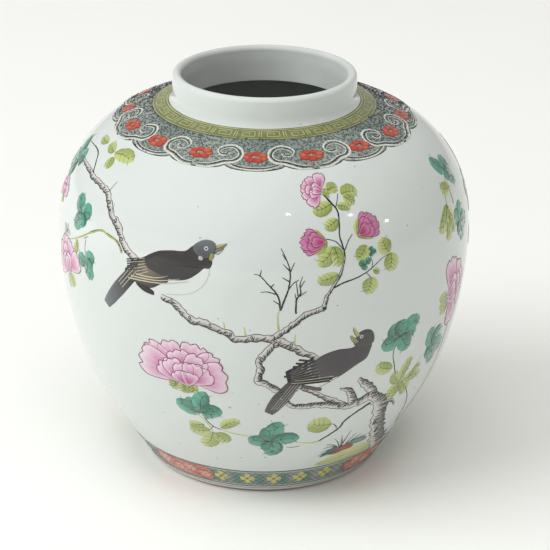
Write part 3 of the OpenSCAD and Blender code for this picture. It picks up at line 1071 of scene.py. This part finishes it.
# The left branch, the arch under the upper bird and its twigs
bough([(-82, 161.5), (-70, 161.5), (-63, 160), (-57, 159.3), (-52, 157.5), (-49, 153.5),
       (-47, 150), (-44, 147.5), (-42, 144), (-40.5, 140.5), (-38, 137), (-35, 134)],
      [1.4, 1.8, 2.2, 2.6, 3.0, 3.4, 3.6, 3.4, 3.6])
bough([(-27.5, 120), (-23.5, 117.3), (-20.5, 112.5), (-18.5, 110.5), (-15, 110), (-12, 107.2),
       (-9.5, 105.8), (-7, 103), (-3, 103.8), (0, 103.6), (3, 102.5), (5.5, 101)],
      [2.4, 3.4, 3.6, 3.4, 3.8, 3.4, 4.0, 4.4])
twig([(-83, 167), (-75, 168), (-70, 167.5), (-67, 165), (-64, 161)], (0.3, 0.8, 1.0))
twig([(-40.5, 135.5), (-41, 137), (-43, 140), (-46, 141), (-49, 142), (-51, 141), (-55, 137.5),
      (-58, 134.5), (-62, 131), (-66, 128)], (1.6, 1.2, 1.0, 0.5), tone(170, 178, 104))
twig([(-40.5, 136), (-42.5, 140), (-47, 142)], (0.9, 0.5, 0.3))
twig([(-49, 142.5), (-52, 140.7), (-55, 138)], (0.2, 0.6, 0.2))
twig([(-56, 134), (-56.3, 130), (-56, 127)], (0.5, 0.35, 0.2))
for path in ([(-10, 107), (-10.3, 111.5)], [(-4.5, 104.5), (-5, 109.5)], [(8, 100), (8.3, 105.5)],
             [(3.9, 108), (3.6, 112)], [(4, 107.5), (3.6, 114.5), (4.2, 119.5)]):
    twig(path, (1.3, 0.3), tone(186, 196, 124))
for path in ([(-47, 151), (-47.5, 155)], [(-52, 158), (-50.5, 163)], [(-57, 134), (-55, 136)]):
    twig(path, (0.6, 0.2))

# The right tree: its trunk, loop, fork and broken stubs
bough([(54.5, 18.5), (50.5, 24), (46.5, 30), (43, 37), (40.5, 44), (39.5, 51), (38.5, 56),
       (35.5, 60.5)], [12, 11.5, 10.5, 9.5, 9, 9, 8, 7], 3.6)
bough([(36.5, 59.5), (33.5, 63), (30, 61.3), (26, 60.3), (22, 61.8), (18, 63.7), (14, 64.2),
       (9, 64.5), (7, 66.5)], [6.5, 5.6, 5.0, 4.4, 4.0, 3.8, 3.4, 3.0, 2.4], 1.6)
bough([(7, 66), (4.5, 73), (2.8, 76.3), (0.6, 78.4), (-1.4, 81), (-0.8, 86), (-1, 91.5),
       (1, 97), (3.5, 101.5)], [3.4, 3.6, 3.8, 3.6, 3.8, 3.4, 3.4, 3.6, 3.8], 1.4)
bough([(4.5, 102), (8, 98.5), (11, 95), (14.5, 91.5)], [4.0, 3.8, 3.4, 3.0], 2.2)
bough([(10, 76), (14, 72.5), (18, 68), (21.5, 64.5), (24, 62)], [2.0, 2.6, 3.0, 3.4])
bough([(27.5, 61.5), (26.5, 66), (25, 70), (22, 72.3)], [5.5, 4.4, 3.2, 0.6], 2.0)
bough([(35, 61), (33, 67), (30, 72), (27.5, 76)], [6.0, 5.0, 4.4, 1.8], 2.0)
bough([(39, 55), (43.5, 54.5), (46, 50)], [2.8, 2.0, 0.7], 1.2)
for heart, wide, high in (((40, 42), 1.3, 2.6), ((41.3, 50), 1.1, 2.2), ((44, 34), 1.2, 2.4)):
    ink.blob([from_local(heart, wide * math.cos(a), high * math.sin(a))
              for a in np.radians(range(0, 360, 45))], INK, 0.15, rings=(1, 0.6), on=0.09)
bough([(2, 103.5), (5, 107), (8, 111), (10, 114.2), (13, 116.6), (15.7, 117.6)],
      [2.6, 2.8, 2.8, 2.6, 2.6], 1.4)
bough([(15.6, 117), (16, 121), (17, 125), (18.7, 129.3), (20.5, 135), (21.6, 141)],
      [2.2, 1.8, 1.5, 1.1, 0.9, 0.8])
ink.blob([from_local((15.8, 117.6), 1.2 * math.cos(a), 1.1 * math.sin(a))
          for a in np.radians(range(0, 360, 60))], INK, 0.15, rings=(1, 0.6), on=0.09)
for path, width in (
        ([(21.6, 141), (21.5, 144), (20.8, 150), (21.2, 155), (21.5, 160), (20, 163.5),
          (18.5, 166.5)], (0.9, 0.8, 0.8, 1.2)),
        ([(21, 161), (22, 163.5), (23, 166.3)], (0.7, 0.4, 0.3)),
        ([(21.2, 144.5), (19.5, 148), (17, 149.5)], (0.6, 0.5, 0.4)),
        ([(21.8, 144), (23, 147.5), (24.5, 150)], (0.6, 0.5, 0.4)),
        ([(18, 127), (21, 129), (25, 130.5), (28, 132.5), (30, 134.5), (32.5, 137), (35.5, 138.5)],
         (1.1, 0.7, 0.5, 0.3)),
        ([(29, 133), (29.5, 136), (29, 139)], (0.5, 0.3)),
        ([(27.5, 132), (28.2, 130.5), (29, 129)], (0.5, 0.3)),
        ([(48, 60), (52, 52), (55, 44), (57, 35), (60, 28)], (0.5, 0.8, 0.8, 0.5)),
        ([(34, 58.5), (29, 54), (26, 50), (25, 46), (22, 42), (19, 38.7)],
         (1.8, 1.6, 1.5, 1.5, 1.2)),
        ([(8, 36.5), (10, 36.1), (12.5, 36.6)], (0.2, 0.5, 0.3)),
        ([(21, 50), (22.5, 49.5), (24, 46.5)], (0.4, 0.6, 0.7)),
        ([(38.5, 89.5), (38.4, 84), (39.4, 79), (41, 72)], (0.5, 0.6, 0.7)),
        ([(-18.4, 60), (-17.4, 54), (-15.3, 49.8), (-13.2, 48.6)], (0.8, 0.7, 0.5)),
        ([(-15.5, 50), (-17, 47)], (0.5, 0.3)),
        ([(67.5, 153), (67.3, 149), (67, 146)], (0.5, 0.5))):
    twig(path, width)
twig([(20, 38.6), (17, 38), (14, 38.5), (11, 40), (9, 41.5)], (1.6, 1.2, 0.6), LEAF_PALE)
twig([(-14, 48.6), (-9, 46.3), (-4, 45)], (0.5, 1.1, 0.8), LEAF_PALE)
twig([(-20, 57.5), (-17.5, 52), (-16, 47)], (0.8, 1.0, 0.8), LEAF_PALE)
twig([(52, 76), (49, 70), (46, 66)], (0.4, 0.8, 0.8), LEAF_PALE)

# Three bare black twigs over the fork
for path in ([(4.2, 118), (4, 123), (3, 127), (1, 131), (-1, 135), (-2.5, 135.5)],
             [(3, 126), (1, 127.2), (-0.8, 127)], [(4, 121), (3.2, 122), (2.4, 123)],
             [(1.8, 129.5), (2.7, 131)], [(-1, 134.5), (-0.6, 137.5)],
             [(4.3, 118), (5.5, 124), (6.3, 128), (6.8, 134), (6.5, 139), (5.5, 143.5), (4.5, 147)],
             [(6.6, 137), (5, 140)], [(6.7, 136), (8, 140.5)], [(6.5, 132), (4.7, 134)],
             [(6.3, 128), (7.6, 131), (9, 132.5)], [(5.8, 142), (4.8, 144.5)],
             [(8.3, 116), (8.4, 123), (9.5, 126), (9.3, 130), (10, 134)], [(8.8, 125), (8.3, 132)],
             [(9.2, 124.5), (11, 126.8)], [(8.5, 122), (8, 126)], [(9.4, 129), (10.6, 132)]):
    twig(path, (1.0, 0.85, 0.35) if len(path) > 3 else (0.75, 0.3))

# Flowers
for base, tip, width in (((-25, 76.5), (-26.5, 70.5), 6), ((-23, 76), (-23, 69), 6),
                         ((-21, 76), (-19.6, 69.8), 5.5)):
    leaf(base, tip, width, LEAF_PALE, LEAF_DEEP, green, LEAF_LINE)
for layer, (base, tip, width) in enumerate((
        ((-23, 84), (-27.5, 97), 13), ((-23, 83), (-33.5, 92.5), 12), ((-20.5, 84), (-18, 98), 14),
        ((-20, 82), (-12, 91), 13), ((-22, 82), (-24, 93.5), 12), ((-22.5, 79), (-36.5, 85), 18),
        ((-20, 79), (-9.8, 82), 18), ((-22, 80), (-16.5, 91), 12), ((-23, 76), (-29.5, 85), 12),
        ((-20.5, 76), (-15, 84.5), 13), ((-23, 75.5), (-26.5, 88), 10.5),
        ((-21.5, 75), (-22.5, 87), 11), ((-20.5, 75), (-19, 87.5), 10.5),
        ((-22, 74.5), (-24.6, 81.5), 8), ((-21, 74.5), (-20.4, 82), 9))):
    petal(base, tip, width, 0.7 * layer)
peony((15.4, 168.6), 9.0, 1.2)
rosebud((13.5, 148.6), 6.6, 1.5)
rosebud((29.2, 151.8), 7.0, -1.0)
peony((-69, 117), 17, 0.4)
peony((-80, 146), 9, 0.3)
peony((66, 104), 19, -1.3)
for tip in ((-71, 133.5), (-67.5, 134), (-66, 130), (-71.5, 129)):
    leaf((-69, 130), tip, 3.2, tone(206, 206, 200), tone(150, 156, 150), green, INK, 0)

# Turquoise leaves, each with its heart and the tips of its lobes
for heart, tips, width in (
        ((-60.5, 144), ((-64, 152), (-55.5, 146.5), (-63.5, 136.5), (-59, 138)), 7.5),
        ((-56, 122.5), ((-51.5, 127.5), (-60, 124), (-53, 115), (-52.5, 120.5)), 6.6),
        ((-80, 159), ((-87, 168), (-76, 163), (-84, 152), (-88, 158)), 9),
        ((-18.6, 58.5), ((-26, 64), (-22, 67), (-16.5, 71.5), (-12, 60), (-14.5, 57.5)), 7.6),
        ((3, 41.5), ((-4.8, 43.5), (5.3, 55), (2.2, 52), (11.8, 43), (2.5, 30.5), (0.8, 34)), 8.4),
        ((40, 94), ((33.5, 91.5), (36.5, 101.5), (41, 102.5), (47, 100.5), (46, 94), (43, 84.5)),
         8.2),
        ((57, 78), ((54, 90), (60, 88), (64, 74), (58.5, 67), (54, 73)), 8),
        ((71, 160), ((67, 167), (77, 162), (74.5, 152), (71, 155)), 8),
        ((69.5, 136), ((66, 143), (72, 145), (75, 134), (70, 126), (66.5, 131)), 8),
        ((29.4, 141), ((29.6, 143.6), (31, 141), (29, 139)), 2.6),
        ((27.3, 136), ((25.6, 138), (29, 138.3), (26.5, 133.6)), 3.2)):
    teal_leaf(heart, tips, width)

# Yellow-green leaves from base to tip
for base, tip, width in (
        ((-61, 171), (-50, 171.3), 6.5), ((-60.5, 169.5), (-59.5, 165), 5), ((-62, 171), (-68, 173), 4.5),
        ((-70, 172), (-77, 172), 4), ((-61, 131), (-62.5, 123.5), 4),
        ((24, 166), (29.5, 166), 6.2), ((24.5, 165), (27, 161.5), 4.2), ((20, 163), (14, 161), 6),
        ((20.8, 157), (16.8, 154), 5), ((21.8, 162), (25.5, 160.2), 3.6), ((20, 168), (23.5, 168.6), 5),
        ((18.6, 146), (14.2, 138.5), 6), ((18.8, 146), (19.6, 137), 5), ((19.5, 133.5), (13.8, 131.3), 5),
        ((28, 144.5), (25, 138.5), 6), ((35, 139), (33.2, 146), 6.6), ((35.5, 138.5), (34.6, 130), 7),
        ((29.5, 132.5), (31.5, 130.6), 2.6), ((29, 129.2), (27.5, 121.5), 7), ((-13, 49.5), (-7, 55.5), 5),
        ((-17, 47), (-24, 45.5), 7), ((-18.5, 50.5), (-23.5, 49.5), 4.6), ((-16, 46), (-20.5, 34), 7),
        ((-15.5, 45), (-11.8, 39), 7), ((21.5, 50), (14, 52.5), 9.5), ((39, 76.5), (33, 81), 6),
        ((44, 66), (46.5, 79), 5), ((43.5, 66), (40.2, 73), 5.5), ((45, 65), (54, 64.5), 5.5),
        ((45, 65), (48.5, 55.5), 6), ((43.5, 65), (39.8, 59), 6), ((48, 66), (52.5, 71), 3.6),
        ((44, 66), (42, 56), 4.5), ((62.5, 148), (59.5, 132), 6), ((62.5, 148), (55.5, 138), 6),
        ((62, 147.5), (64, 134), 5), ((68.5, 153.5), (62.5, 155.5), 6), ((-24, 76), (-26.5, 71), 4),
        ((-22.5, 75), (-22.3, 69), 4.2), ((-21, 75.5), (-19.6, 70.5), 4)):
    green_leaf(base, tip, width)


# ---- Birds ----
# Both birds are washed in black enamel. Cream wing bars and fine streaks, an olive beak and a
# ringed eye are painted over it.

EYE_WHITE = tone(214, 216, 222)
PLUMAGE_BROWN = tone(70, 66, 64)


def fan(starts, ends, width, tint, lift, on):
    """Even strokes between two lines of points."""
    for first, last in zip(starts, ends):
        feathers.stroke([first, last], width, tint, lift, step=1.2, shake=0.1, on=on)


def evenly(first, last, count):
    """Points spaced evenly from one to another."""
    return [np.array(first) + (np.array(last) - np.array(first)) * k / (count - 1)
            for k in range(count)]


def dot(spot, across, tint, lift):
    """A round dot of enamel on the plumage."""
    feathers.blob([from_local(spot, across / 2 * math.cos(a), across / 2 * math.sin(a))
                   for a in np.radians(range(0, 360, 45))], tint, lift, rings=(1, 0.6), on=lift - 0.04)


def plumage(u, v, share):
    """Black that warms towards the back."""
    return between(PLUMAGE, PLUMAGE_BROWN, 0.5 * v + 0.3 * share)


# The upper bird, facing right
birds.stroke([(-33.5, 132.5), (-37, 126.5), (-42, 116.5), (-46.6, 106.8)], [5.5, 7, 7.4, 7.6, 6.6, 4.6],
             lambda u, v: between(PLUMAGE, PLUMAGE_GREY, 1.4 * v - 0.45), 0.1, across=4)
birds.blob([(-29.5, 139.5), (-33.2, 137), (-36.6, 134), (-37.6, 131.6), (-39.5, 128), (-37.5, 124.8),
            (-33, 122.2), (-30, 122.8), (-27.5, 125.6), (-25, 129)],
           lambda u, v, share: between(PLUMAGE, tone(122, 108, 90), 1.1 - 1.2 * share), 0.12,
           centre=(-32.4, 131))
birds.blob([(-18.3, 146.6), (-21, 143.6), (-25, 142.8), (-29, 141.3), (-32, 138.2), (-33.4, 134.6),
            (-31.6, 131.8), (-27.5, 129.8), (-24, 128.8), (-20, 130.2), (-17, 133.8), (-15.2, 136.8),
            (-13.8, 136.8), (-13.1, 140), (-14.6, 143)], plumage, 0.15, centre=(-24, 136.5), step=0.9)
birds.blob([(-12.6, 144.2), (-12.4, 147), (-13.6, 149), (-15.8, 149.4), (-17.8, 148), (-19.2, 145.4),
            (-17.6, 142.2), (-14.6, 141.4)],
           lambda u, v, share: between(PLUMAGE_GREY, tone(78, 80, 82), 0.5 - 0.6 * v), 0.18)
birds.stroke([(-13, 145.7), (-11.6, 146.6), (-9.8, 148.4)], [4.0, 2.6, 0.3],
             lambda u, v: between(tone(178, 172, 130), tone(112, 112, 80), 0.5 + 0.6 * u), 0.17,
             across=3, step=0.7)
feathers.stroke([(-13, 145.6), (-11.5, 146.5), (-9.8, 148.2)], [0.35, 0.3, 0.15], INK, 0.2, on=0.17)
feathers.stroke([(-13.3, 144.2), (-12, 143.6), (-10.6, 146.2)], [0.3, 0.3, 0.15], INK, 0.2, on=0.17)
feathers.stroke([(-13.4, 143.6), (-14, 140.6)], [1.8, 2.2, 1.2], tone(146, 148, 76), 0.2, across=3,
                on=0.17)
dot((-15.3, 145.6), 2.6, EYE_WHITE, 0.21)
dot((-15.3, 145.6), 1.7, tone(120, 118, 132), 0.23)
dot((-15.2, 145.6), 0.9, INK, 0.25)
dot((-16.6, 141.2), 2.6, tone(178, 180, 168), 0.2)
for start, end in (((-38, 124.8), (-19.4, 129.6)), ((-37, 126.2), (-22, 130.2)),
                   ((-35.4, 127.8), (-25.4, 130.6))):
    middle = ((start[0] + end[0]) / 2 + 1, (start[1] + end[1]) / 2 - 0.9)
    feathers.stroke([start, middle, end], [0.7, 0.6, 0.15], CREAM, 0.18, shake=0.15, on=0.15)
fan(evenly((-37.4, 134.2), (-35.2, 127.5), 6), evenly((-32.8, 136.4), (-31.4, 130.6), 6), 0.34,
    CREAM, 0.16, 0.12)
fan(evenly((-38.6, 133.6), (-38.2, 128.5), 6), evenly((-34.4, 135.8), (-35.0, 130.5), 6), 0.6, INK,
    0.17, 0.12)
fan(evenly((-35.4, 128.6), (-37, 130.6), 3), evenly((-40.2, 118.8), (-41.4, 121), 3), 0.42, CREAM,
    0.15, 0.1)
birds.blob([(-35.5, 123.5), (-32, 123.2), (-29.5, 121.3), (-29.4, 119.6), (-31, 119.6), (-33.4, 120.6)],
           INK, 0.13)
twigs.stroke([(-14, 136.8), (-14.8, 131), (-17.6, 125.4), (-21.5, 122.6), (-26, 121.6)], [0.3, 0.35, 0.25],
             tone(188, 186, 176), 0.1)

# The lower bird, looking back over its shoulder
birds.stroke([(9.5, 80.5), (7, 74.5), (4.3, 68), (1.6, 60.8)], [4.5, 7, 8, 8.4, 7.2, 4.4],
             lambda u, v: between(tone(56, 52, 54), tone(84, 82, 82), v), 0.12, across=4)
birds.blob([(24.2, 95), (20, 95.2), (16, 93.4), (13.6, 90.6), (12.6, 86.6), (13.6, 82.4),
            (16.4, 80), (21, 79.4), (24, 82), (26.6, 84.6), (29.2, 87), (30.2, 91), (30.4, 95.6),
            (27.6, 97.4)], lambda u, v, share: between(tone(64, 60, 63), tone(84, 78, 80), -0.6 * u),
           0.15, centre=(21.5, 88), step=0.9)
birds.blob([(24.6, 96), (24.9, 99.6), (26, 102.4), (28, 103.3), (29.9, 102), (30.9, 98.6),
            (30.6, 94.8), (27.5, 94)], lambda u, v, share: tone(66, 63, 66), 0.18)
birds.stroke([(25.8, 100.4), (24.9, 102.8), (24.1, 105.6)], [2.2, 1.5, 0.3], tone(176, 176, 112),
             0.19, across=3, step=0.7)
birds.stroke([(25.4, 97), (24.6, 99), (23.5, 101.4)], [2.4, 1.5, 0.3], tone(146, 146, 92), 0.19,
             across=3, step=0.7)
feathers.stroke([(25.9, 99.4), (24.8, 101.5), (24, 104.6)], [0.4, 0.3, 0.15], INK, 0.22, on=0.19)
feathers.stroke([(25, 96.6), (24, 98.5), (23.2, 101.2)], [0.3, 0.3, 0.15], INK, 0.22, on=0.19)
dot((26.7, 99.8), 2.4, tone(206, 206, 214), 0.22)
dot((26.7, 99.8), 1.5, tone(112, 108, 124), 0.24)
dot((26.6, 99.8), 0.8, INK, 0.26)
fan(evenly((6.6, 79.6), (6, 85), 7), evenly((15.4, 81.2), (13.4, 92), 7), 1.15, INK, 0.17, 0.1)
fan(evenly((7.6, 80.6), (7.2, 85), 6), evenly((15.8, 82), (13.6, 91), 6), 0.3,
    tone(142, 138, 130), 0.19, 0.16)
fan(evenly((5.6, 82.6), (9.4, 91.6), 6), evenly((10.8, 82.6), (13.2, 90.4), 6), 1.1, INK, 0.16, 0.1)
fan(evenly((7.4, 77.8), (8.6, 79.4), 3), evenly((18.6, 78), (20, 79.8), 3), 0.95, INK, 0.16, 0.1)
fan(evenly((7.8, 78.6), (8.6, 80), 2), evenly((18.4, 78.9), (19.6, 80.5), 2), 0.45, CREAM, 0.18, 0.15)
fan(evenly((8.2, 79), (10.4, 77.6), 4), evenly((2.2, 62.8), (4.6, 63.2), 4), 0.42, tone(160, 156, 150),
    0.16, 0.12)
twigs.stroke([(24.6, 83), (20.6, 79), (17, 76), (14.6, 74.2)], [0.3, 0.4, 0.3], tone(96, 92, 84), 0.1)
fan([(10.4, 76.4)], [(16.4, 73.4)], [2.6, 1.8], tone(92, 84, 76), 0.12, 0.1)


# ---- Bank, grass and rock ----
# A pale green bank edges the foot border below the trunk, with an iron-red rock and tufts of
# turquoise grass.

bank.blob([(20.5, 18.6), (23, 21.5), (27, 24), (32, 26.2), (38, 27.6), (43, 26), (48, 21),
           (50, 18.2), (40, 17.6), (30, 17.6)],
          lambda u, v, share: between(BANK_PALE, BANK_DEEP, 0.2 - 0.6 * v + 0.3 * share),
          0.11, step=1.5, rings=(1, 0.95, 0.75, 0.5, 0.25))
bank.blob([(24.5, 25.6), (26.4, 27.2), (29, 30.4), (32.4, 31.4), (34.8, 29.6), (35.4, 27.2),
           (31, 26.2), (28, 25)], lambda u, v, share: between(tone(176, 66, 46), tone(116, 36, 28), share),
          0.13)
bank.blob([(21.6, 24.8), (23.4, 28.6), (26.6, 31.4), (28, 29), (26, 26.6)], TEAL_DEEP, 0.12)
bank.blob([(31, 31), (34, 33.6), (39, 33), (41, 30), (37, 29)],
          lambda u, v, share: between(TEAL_PALE, BARK_DARK, share), 0.12)
for base, tip in (((28, 30), (22.6, 34.2)), ((28, 30), (22, 31.6)), ((28.6, 30), (25, 37.6)),
                  ((29, 30), (27.4, 39.6)), ((29.2, 30), (30.4, 41.8)), ((29.6, 30), (28.4, 36)),
                  ((30.6, 30), (33.4, 38)), ((31.6, 30.6), (36.4, 36)), ((32, 30.4), (39.4, 34)),
                  ((27.4, 29), (21.4, 28.6)), ((27, 28.4), (20.6, 26)), ((33, 30), (35, 33))):
    middle = ((base[0] + tip[0]) / 2, (base[1] + tip[1]) / 2 + 1.0)
    twig([base, middle, tip], (0.9, 0.7, 0.15), brush.choice((INK, TEAL_DEEP, tone(62, 88, 80))))
for k in range(9):
    twig([(22 + 3 * k, 19.4 + 0.6 * min(k, 8 - k)), (24.5 + 3 * k, 20.4 + 0.6 * min(k, 8 - k))],
         (0.2, 0.5, 0.2), tone(120, 138, 76))


# ---- The rest of the garden ----
# The painting carries on round the back of the jar: three more sprays of roses and leaves,
# each from a bank of its own, and one bough between them.

SPRAY_ROOTS = (134, -112, 92)


def spray(root, lean, blooms):
    """A flowering spray from its root: one arching branch, side twigs, leaves and blooms."""
    x, y = root
    arch = [(x, y), (x + 5 * lean, y + 24), (x + 2 * lean, y + 48), (x + 9 * lean, y + 72),
            (x + 20 * lean, y + 92), (x + 32 * lean, y + 104)]
    bough(arch, [6.5, 5.2, 4.2, 3.4, 2.4, 1.2], 1.6)
    low = [(x + 3 * lean, y + 40), (x + 12 * lean, y + 47), (x + 23 * lean, y + 46),
           (x + 31 * lean, y + 52)]
    bough(low, [3.0, 2.2, 1.4, 0.8])
    high = [(x + 8 * lean, y + 70), (x, y + 86), (x - 2 * lean, y + 104), (x + 4 * lean, y + 122)]
    bough(high, [2.6, 1.8, 1.2, 0.6])
    for path, (share, side) in ((arch, (0.45, -1)), (arch, (0.7, 1)), (arch, (0.95, -1)),
                                (low, (0.6, 1)), (low, (0.98, -1)), (high, (0.5, 1)),
                                (high, (0.8, -1)), (high, (0.98, 1))):
        line = smooth(path)
        spot = line[int(share * (len(line) - 1))]
        heart = from_local(spot, side * 7 * lean, 6)
        twig([spot, from_local(spot, side * 3 * lean, 4), heart], (0.8, 0.5, 0.4))
        if brush.random() < 0.5:
            teal_leaf(heart, [from_local(heart, 11 * math.cos(a), 11 * math.sin(a))
                              for a in np.radians((10, 75, 150, 235, 300))], 7.5)
        else:
            for angle in np.radians((20, 80, 140, 200)):
                green_leaf(heart, from_local(heart, 11 * math.cos(angle), 10 * math.sin(angle)), 6)
    for dx, dy, size, turn in blooms:
        peony((x + dx * lean, y + dy), size, turn)
    for dx, dy, turn in ((14, 118, 0.6), (-6, 96, -0.8), (30, 62, 0.2)):
        rosebud((x + dx * lean, y + dy), 6.5, turn)


spray((SPRAY_ROOTS[0], 20), 1, ((32, 110, 19, 0.5), (-13, 62, 18, -0.4), (24, 30, 17, 0.2)))
spray((SPRAY_ROOTS[1], 20), -1, ((26, 66, 20, -0.3), (-10, 40, 16, 0.6), (34, 112, 15, 0.2)))
spray((SPRAY_ROOTS[2], 22), 1, ((8, 132, 14, 0.3),))
for start in SPRAY_ROOTS:
    bank.blob([(start - 14, 18.4), (start - 6, 22), (start + 4, 24.6), (start + 13, 22),
               (start + 18, 18.4), (start, 17.6)],
              lambda u, v, share: between(BANK_PALE, BANK_DEEP, 0.4 * share - v),
              0.11, step=1.5, rings=(1, 0.95, 0.75, 0.5, 0.25))
    for k in range(9):
        root_x = start - 8 + 2.2 * k
        twig([(root_x, 22), (root_x + (k - 4) * 0.4, 28), (root_x + (k - 4) * 1.1, 33 - abs(k - 4))],
             (0.9, 0.7, 0.15), brush.choice((INK, TEAL_DEEP)))
bough([(165, 124), (173, 133), (184, 139), (197, 150)], [1.4, 1.2, 1.0, 0.6])
for spot, turn in (((171, 131), 0.8), ((180, 137), -0.9), ((188, 142), 0.9), ((194, 147), -0.7)):
    for side in (-0.35, 0.35):
        green_leaf(spot, from_local(spot, 9 * math.cos(turn + side), 9 * math.sin(turn + side)), 5.5)
rosebud((199, 154), 7, -0.5)
twig([(60, 30), (63, 50), (65.5, 70), (66, 92)], (0.8, 0.9, 0.6), LEAF_DEEP)
twig([(62.5, 148), (64.5, 154), (70, 158)], (0.5, 0.7, 0.5), LEAF_DEEP)

# A few specks of iron fired into the glaze on the front
for spot in ((-32, 52.5), (-8, 28), (-1.3, 66.5), (2.5, 56), (19.3, 118.2), (33, 174)):
    twigs.blob([from_local(spot, 0.5 * math.cos(a), 0.45 * math.sin(a))
                for a in np.radians(range(0, 360, 72))], tone(120, 116, 108), 0.05, rings=(1, 0.6))

# The enamels of the painting, and each sheet fired on to the glaze
bark_enamel = enamel("bark_enamel", 0.35, 0.2)
black_enamel = enamel("black_enamel", 0.3, 0.16)
leaf_enamel = enamel("leaf_enamel", 0.25, 0.08, 0.5)
teal_enamel = enamel("teal_enamel", 0.3, 0.07, 0.6)
rose_enamel = enamel("rose_enamel", 0.2, 0.09, 0.4)
plumage_enamel = enamel("plumage_enamel", 0.2, 0.14)
bark.fire("branches", "bark_enamel", bark_enamel)
ink.fire("branch_outlines", "ink_enamel", black_enamel)
twigs.fire("twigs_and_grass", "ink_enamel", black_enamel)
bank.fire("garden_bank", "leaf_enamel", leaf_enamel)
green.fire("green_leaves", "leaf_enamel", leaf_enamel)
teal.fire("turquoise_leaves", "turquoise_enamel", teal_enamel)
veins.fire("leaf_veins", "ink_enamel", black_enamel)
rose.fire("rose_petals", "rose_enamel", rose_enamel)
rose_lines.fire("petal_outlines", "rose_enamel", rose_enamel)
birds.fire("birds", "bird_enamel", plumage_enamel)
feathers.fire("bird_feathers", "bird_enamel", black_enamel)


# ---- Studio ----
# A pale floor, a soft window on the left whose brighter middle the glaze mirrors, a wide soft
# ceiling, and three small lamps that show as points on the shoulder.

floor_mesh = bpy.data.meshes.new("studio_floor")
FLOOR_REACH = 4.0
floor_mesh.from_pydata([(-FLOOR_REACH, -FLOOR_REACH, 0), (FLOOR_REACH, -FLOOR_REACH, 0),
                        (FLOOR_REACH, FLOOR_REACH, 0), (-FLOOR_REACH, FLOOR_REACH, 0)],
                       [], [(0, 1, 2, 3)])
studio_floor = bpy.data.objects.new("studio_floor", floor_mesh)
bpy.context.scene.collection.objects.link(studio_floor)
floor_mesh.materials.append(fired(
    "pale_floor",
    lambda pen: pen.mix(pen.noise(300), tone(246, 247, 244), tone(242, 242, 238)),
    lambda pen: 0.6 + 0.1 * pen.noise(40),
    0.05, lambda pen: pen.noise(3)))


def lamp(name, place, target, size, power, colour=(1, 1, 1), mirrored=True):
    """A rectangular lamp at a place in metres, turned towards a target."""
    data = bpy.data.lights.new(name, "AREA")
    data.shape = "RECTANGLE"
    data.size, data.size_y = size
    data.energy = power
    data.color = colour
    made = bpy.data.objects.new(name, data)
    made.location = place
    way = Vector(target) - Vector(place)
    made.rotation_euler = way.to_track_quat("-Z", "Y").to_euler()
    made.visible_glossy = mirrored
    bpy.context.scene.collection.objects.link(made)


jar_middle = (0, 0, JAR_H / 2000)
WINDOW = (-2.2, -0.65, 1.9)
PANE_SHAPE = 0.68
SMALL_LAMP = 0.05
lamp("window", WINDOW, jar_middle, (2.2, 1.5), 42, (0.96, 0.99, 1.0), False)
for reach, power in ((2.2, 7.7), (1.9, 5.6), (1.6, 3.85), (1.3, 2.52)):
    lamp("window_pane", WINDOW, jar_middle, (reach, reach * PANE_SHAPE), power)
lamp("ceiling", (-0.6, -1.2, 5.0), jar_middle, (5.0, 5.0), 118, (1.0, 1.0, 0.99), False)
for spot in ((0.4, -1.24, 1.62), (1.31, -0.9, 1.3), (1.85, -0.53, 0.86)):
    lamp("ceiling_lamp", spot, jar_middle, (SMALL_LAMP, SMALL_LAMP), 0.3)

world = bpy.data.worlds.new("studio")
world.use_nodes = True
backdrop = world.node_tree.nodes["Background"]
backdrop.inputs["Color"].default_value = (1.0, 0.99, 0.965, 1)
backdrop.inputs["Strength"].default_value = 0.48
bpy.context.scene.world = world
bpy.context.scene.view_settings.view_transform = "Standard"

CAMERA_RISE = math.radians(22.9)
CAMERA_ROLL = math.radians(-0.3)
camera_far = 5 * JAR_H / 1000
SENSOR = 36.0
camera_data = bpy.data.cameras.new("camera")
camera_data.sensor_width = SENSOR
camera_data.lens = 129.6
camera_data.shift_x = 0.013
camera_data.shift_y = -0.0275
camera = bpy.data.objects.new("camera", camera_data)
camera.location = (0, -camera_far * math.cos(CAMERA_RISE),
                   jar_middle[2] + camera_far * math.sin(CAMERA_RISE))
camera.rotation_euler = (math.pi / 2 - CAMERA_RISE, CAMERA_ROLL, 0)
bpy.context.scene.collection.objects.link(camera)
bpy.context.scene.camera = camera
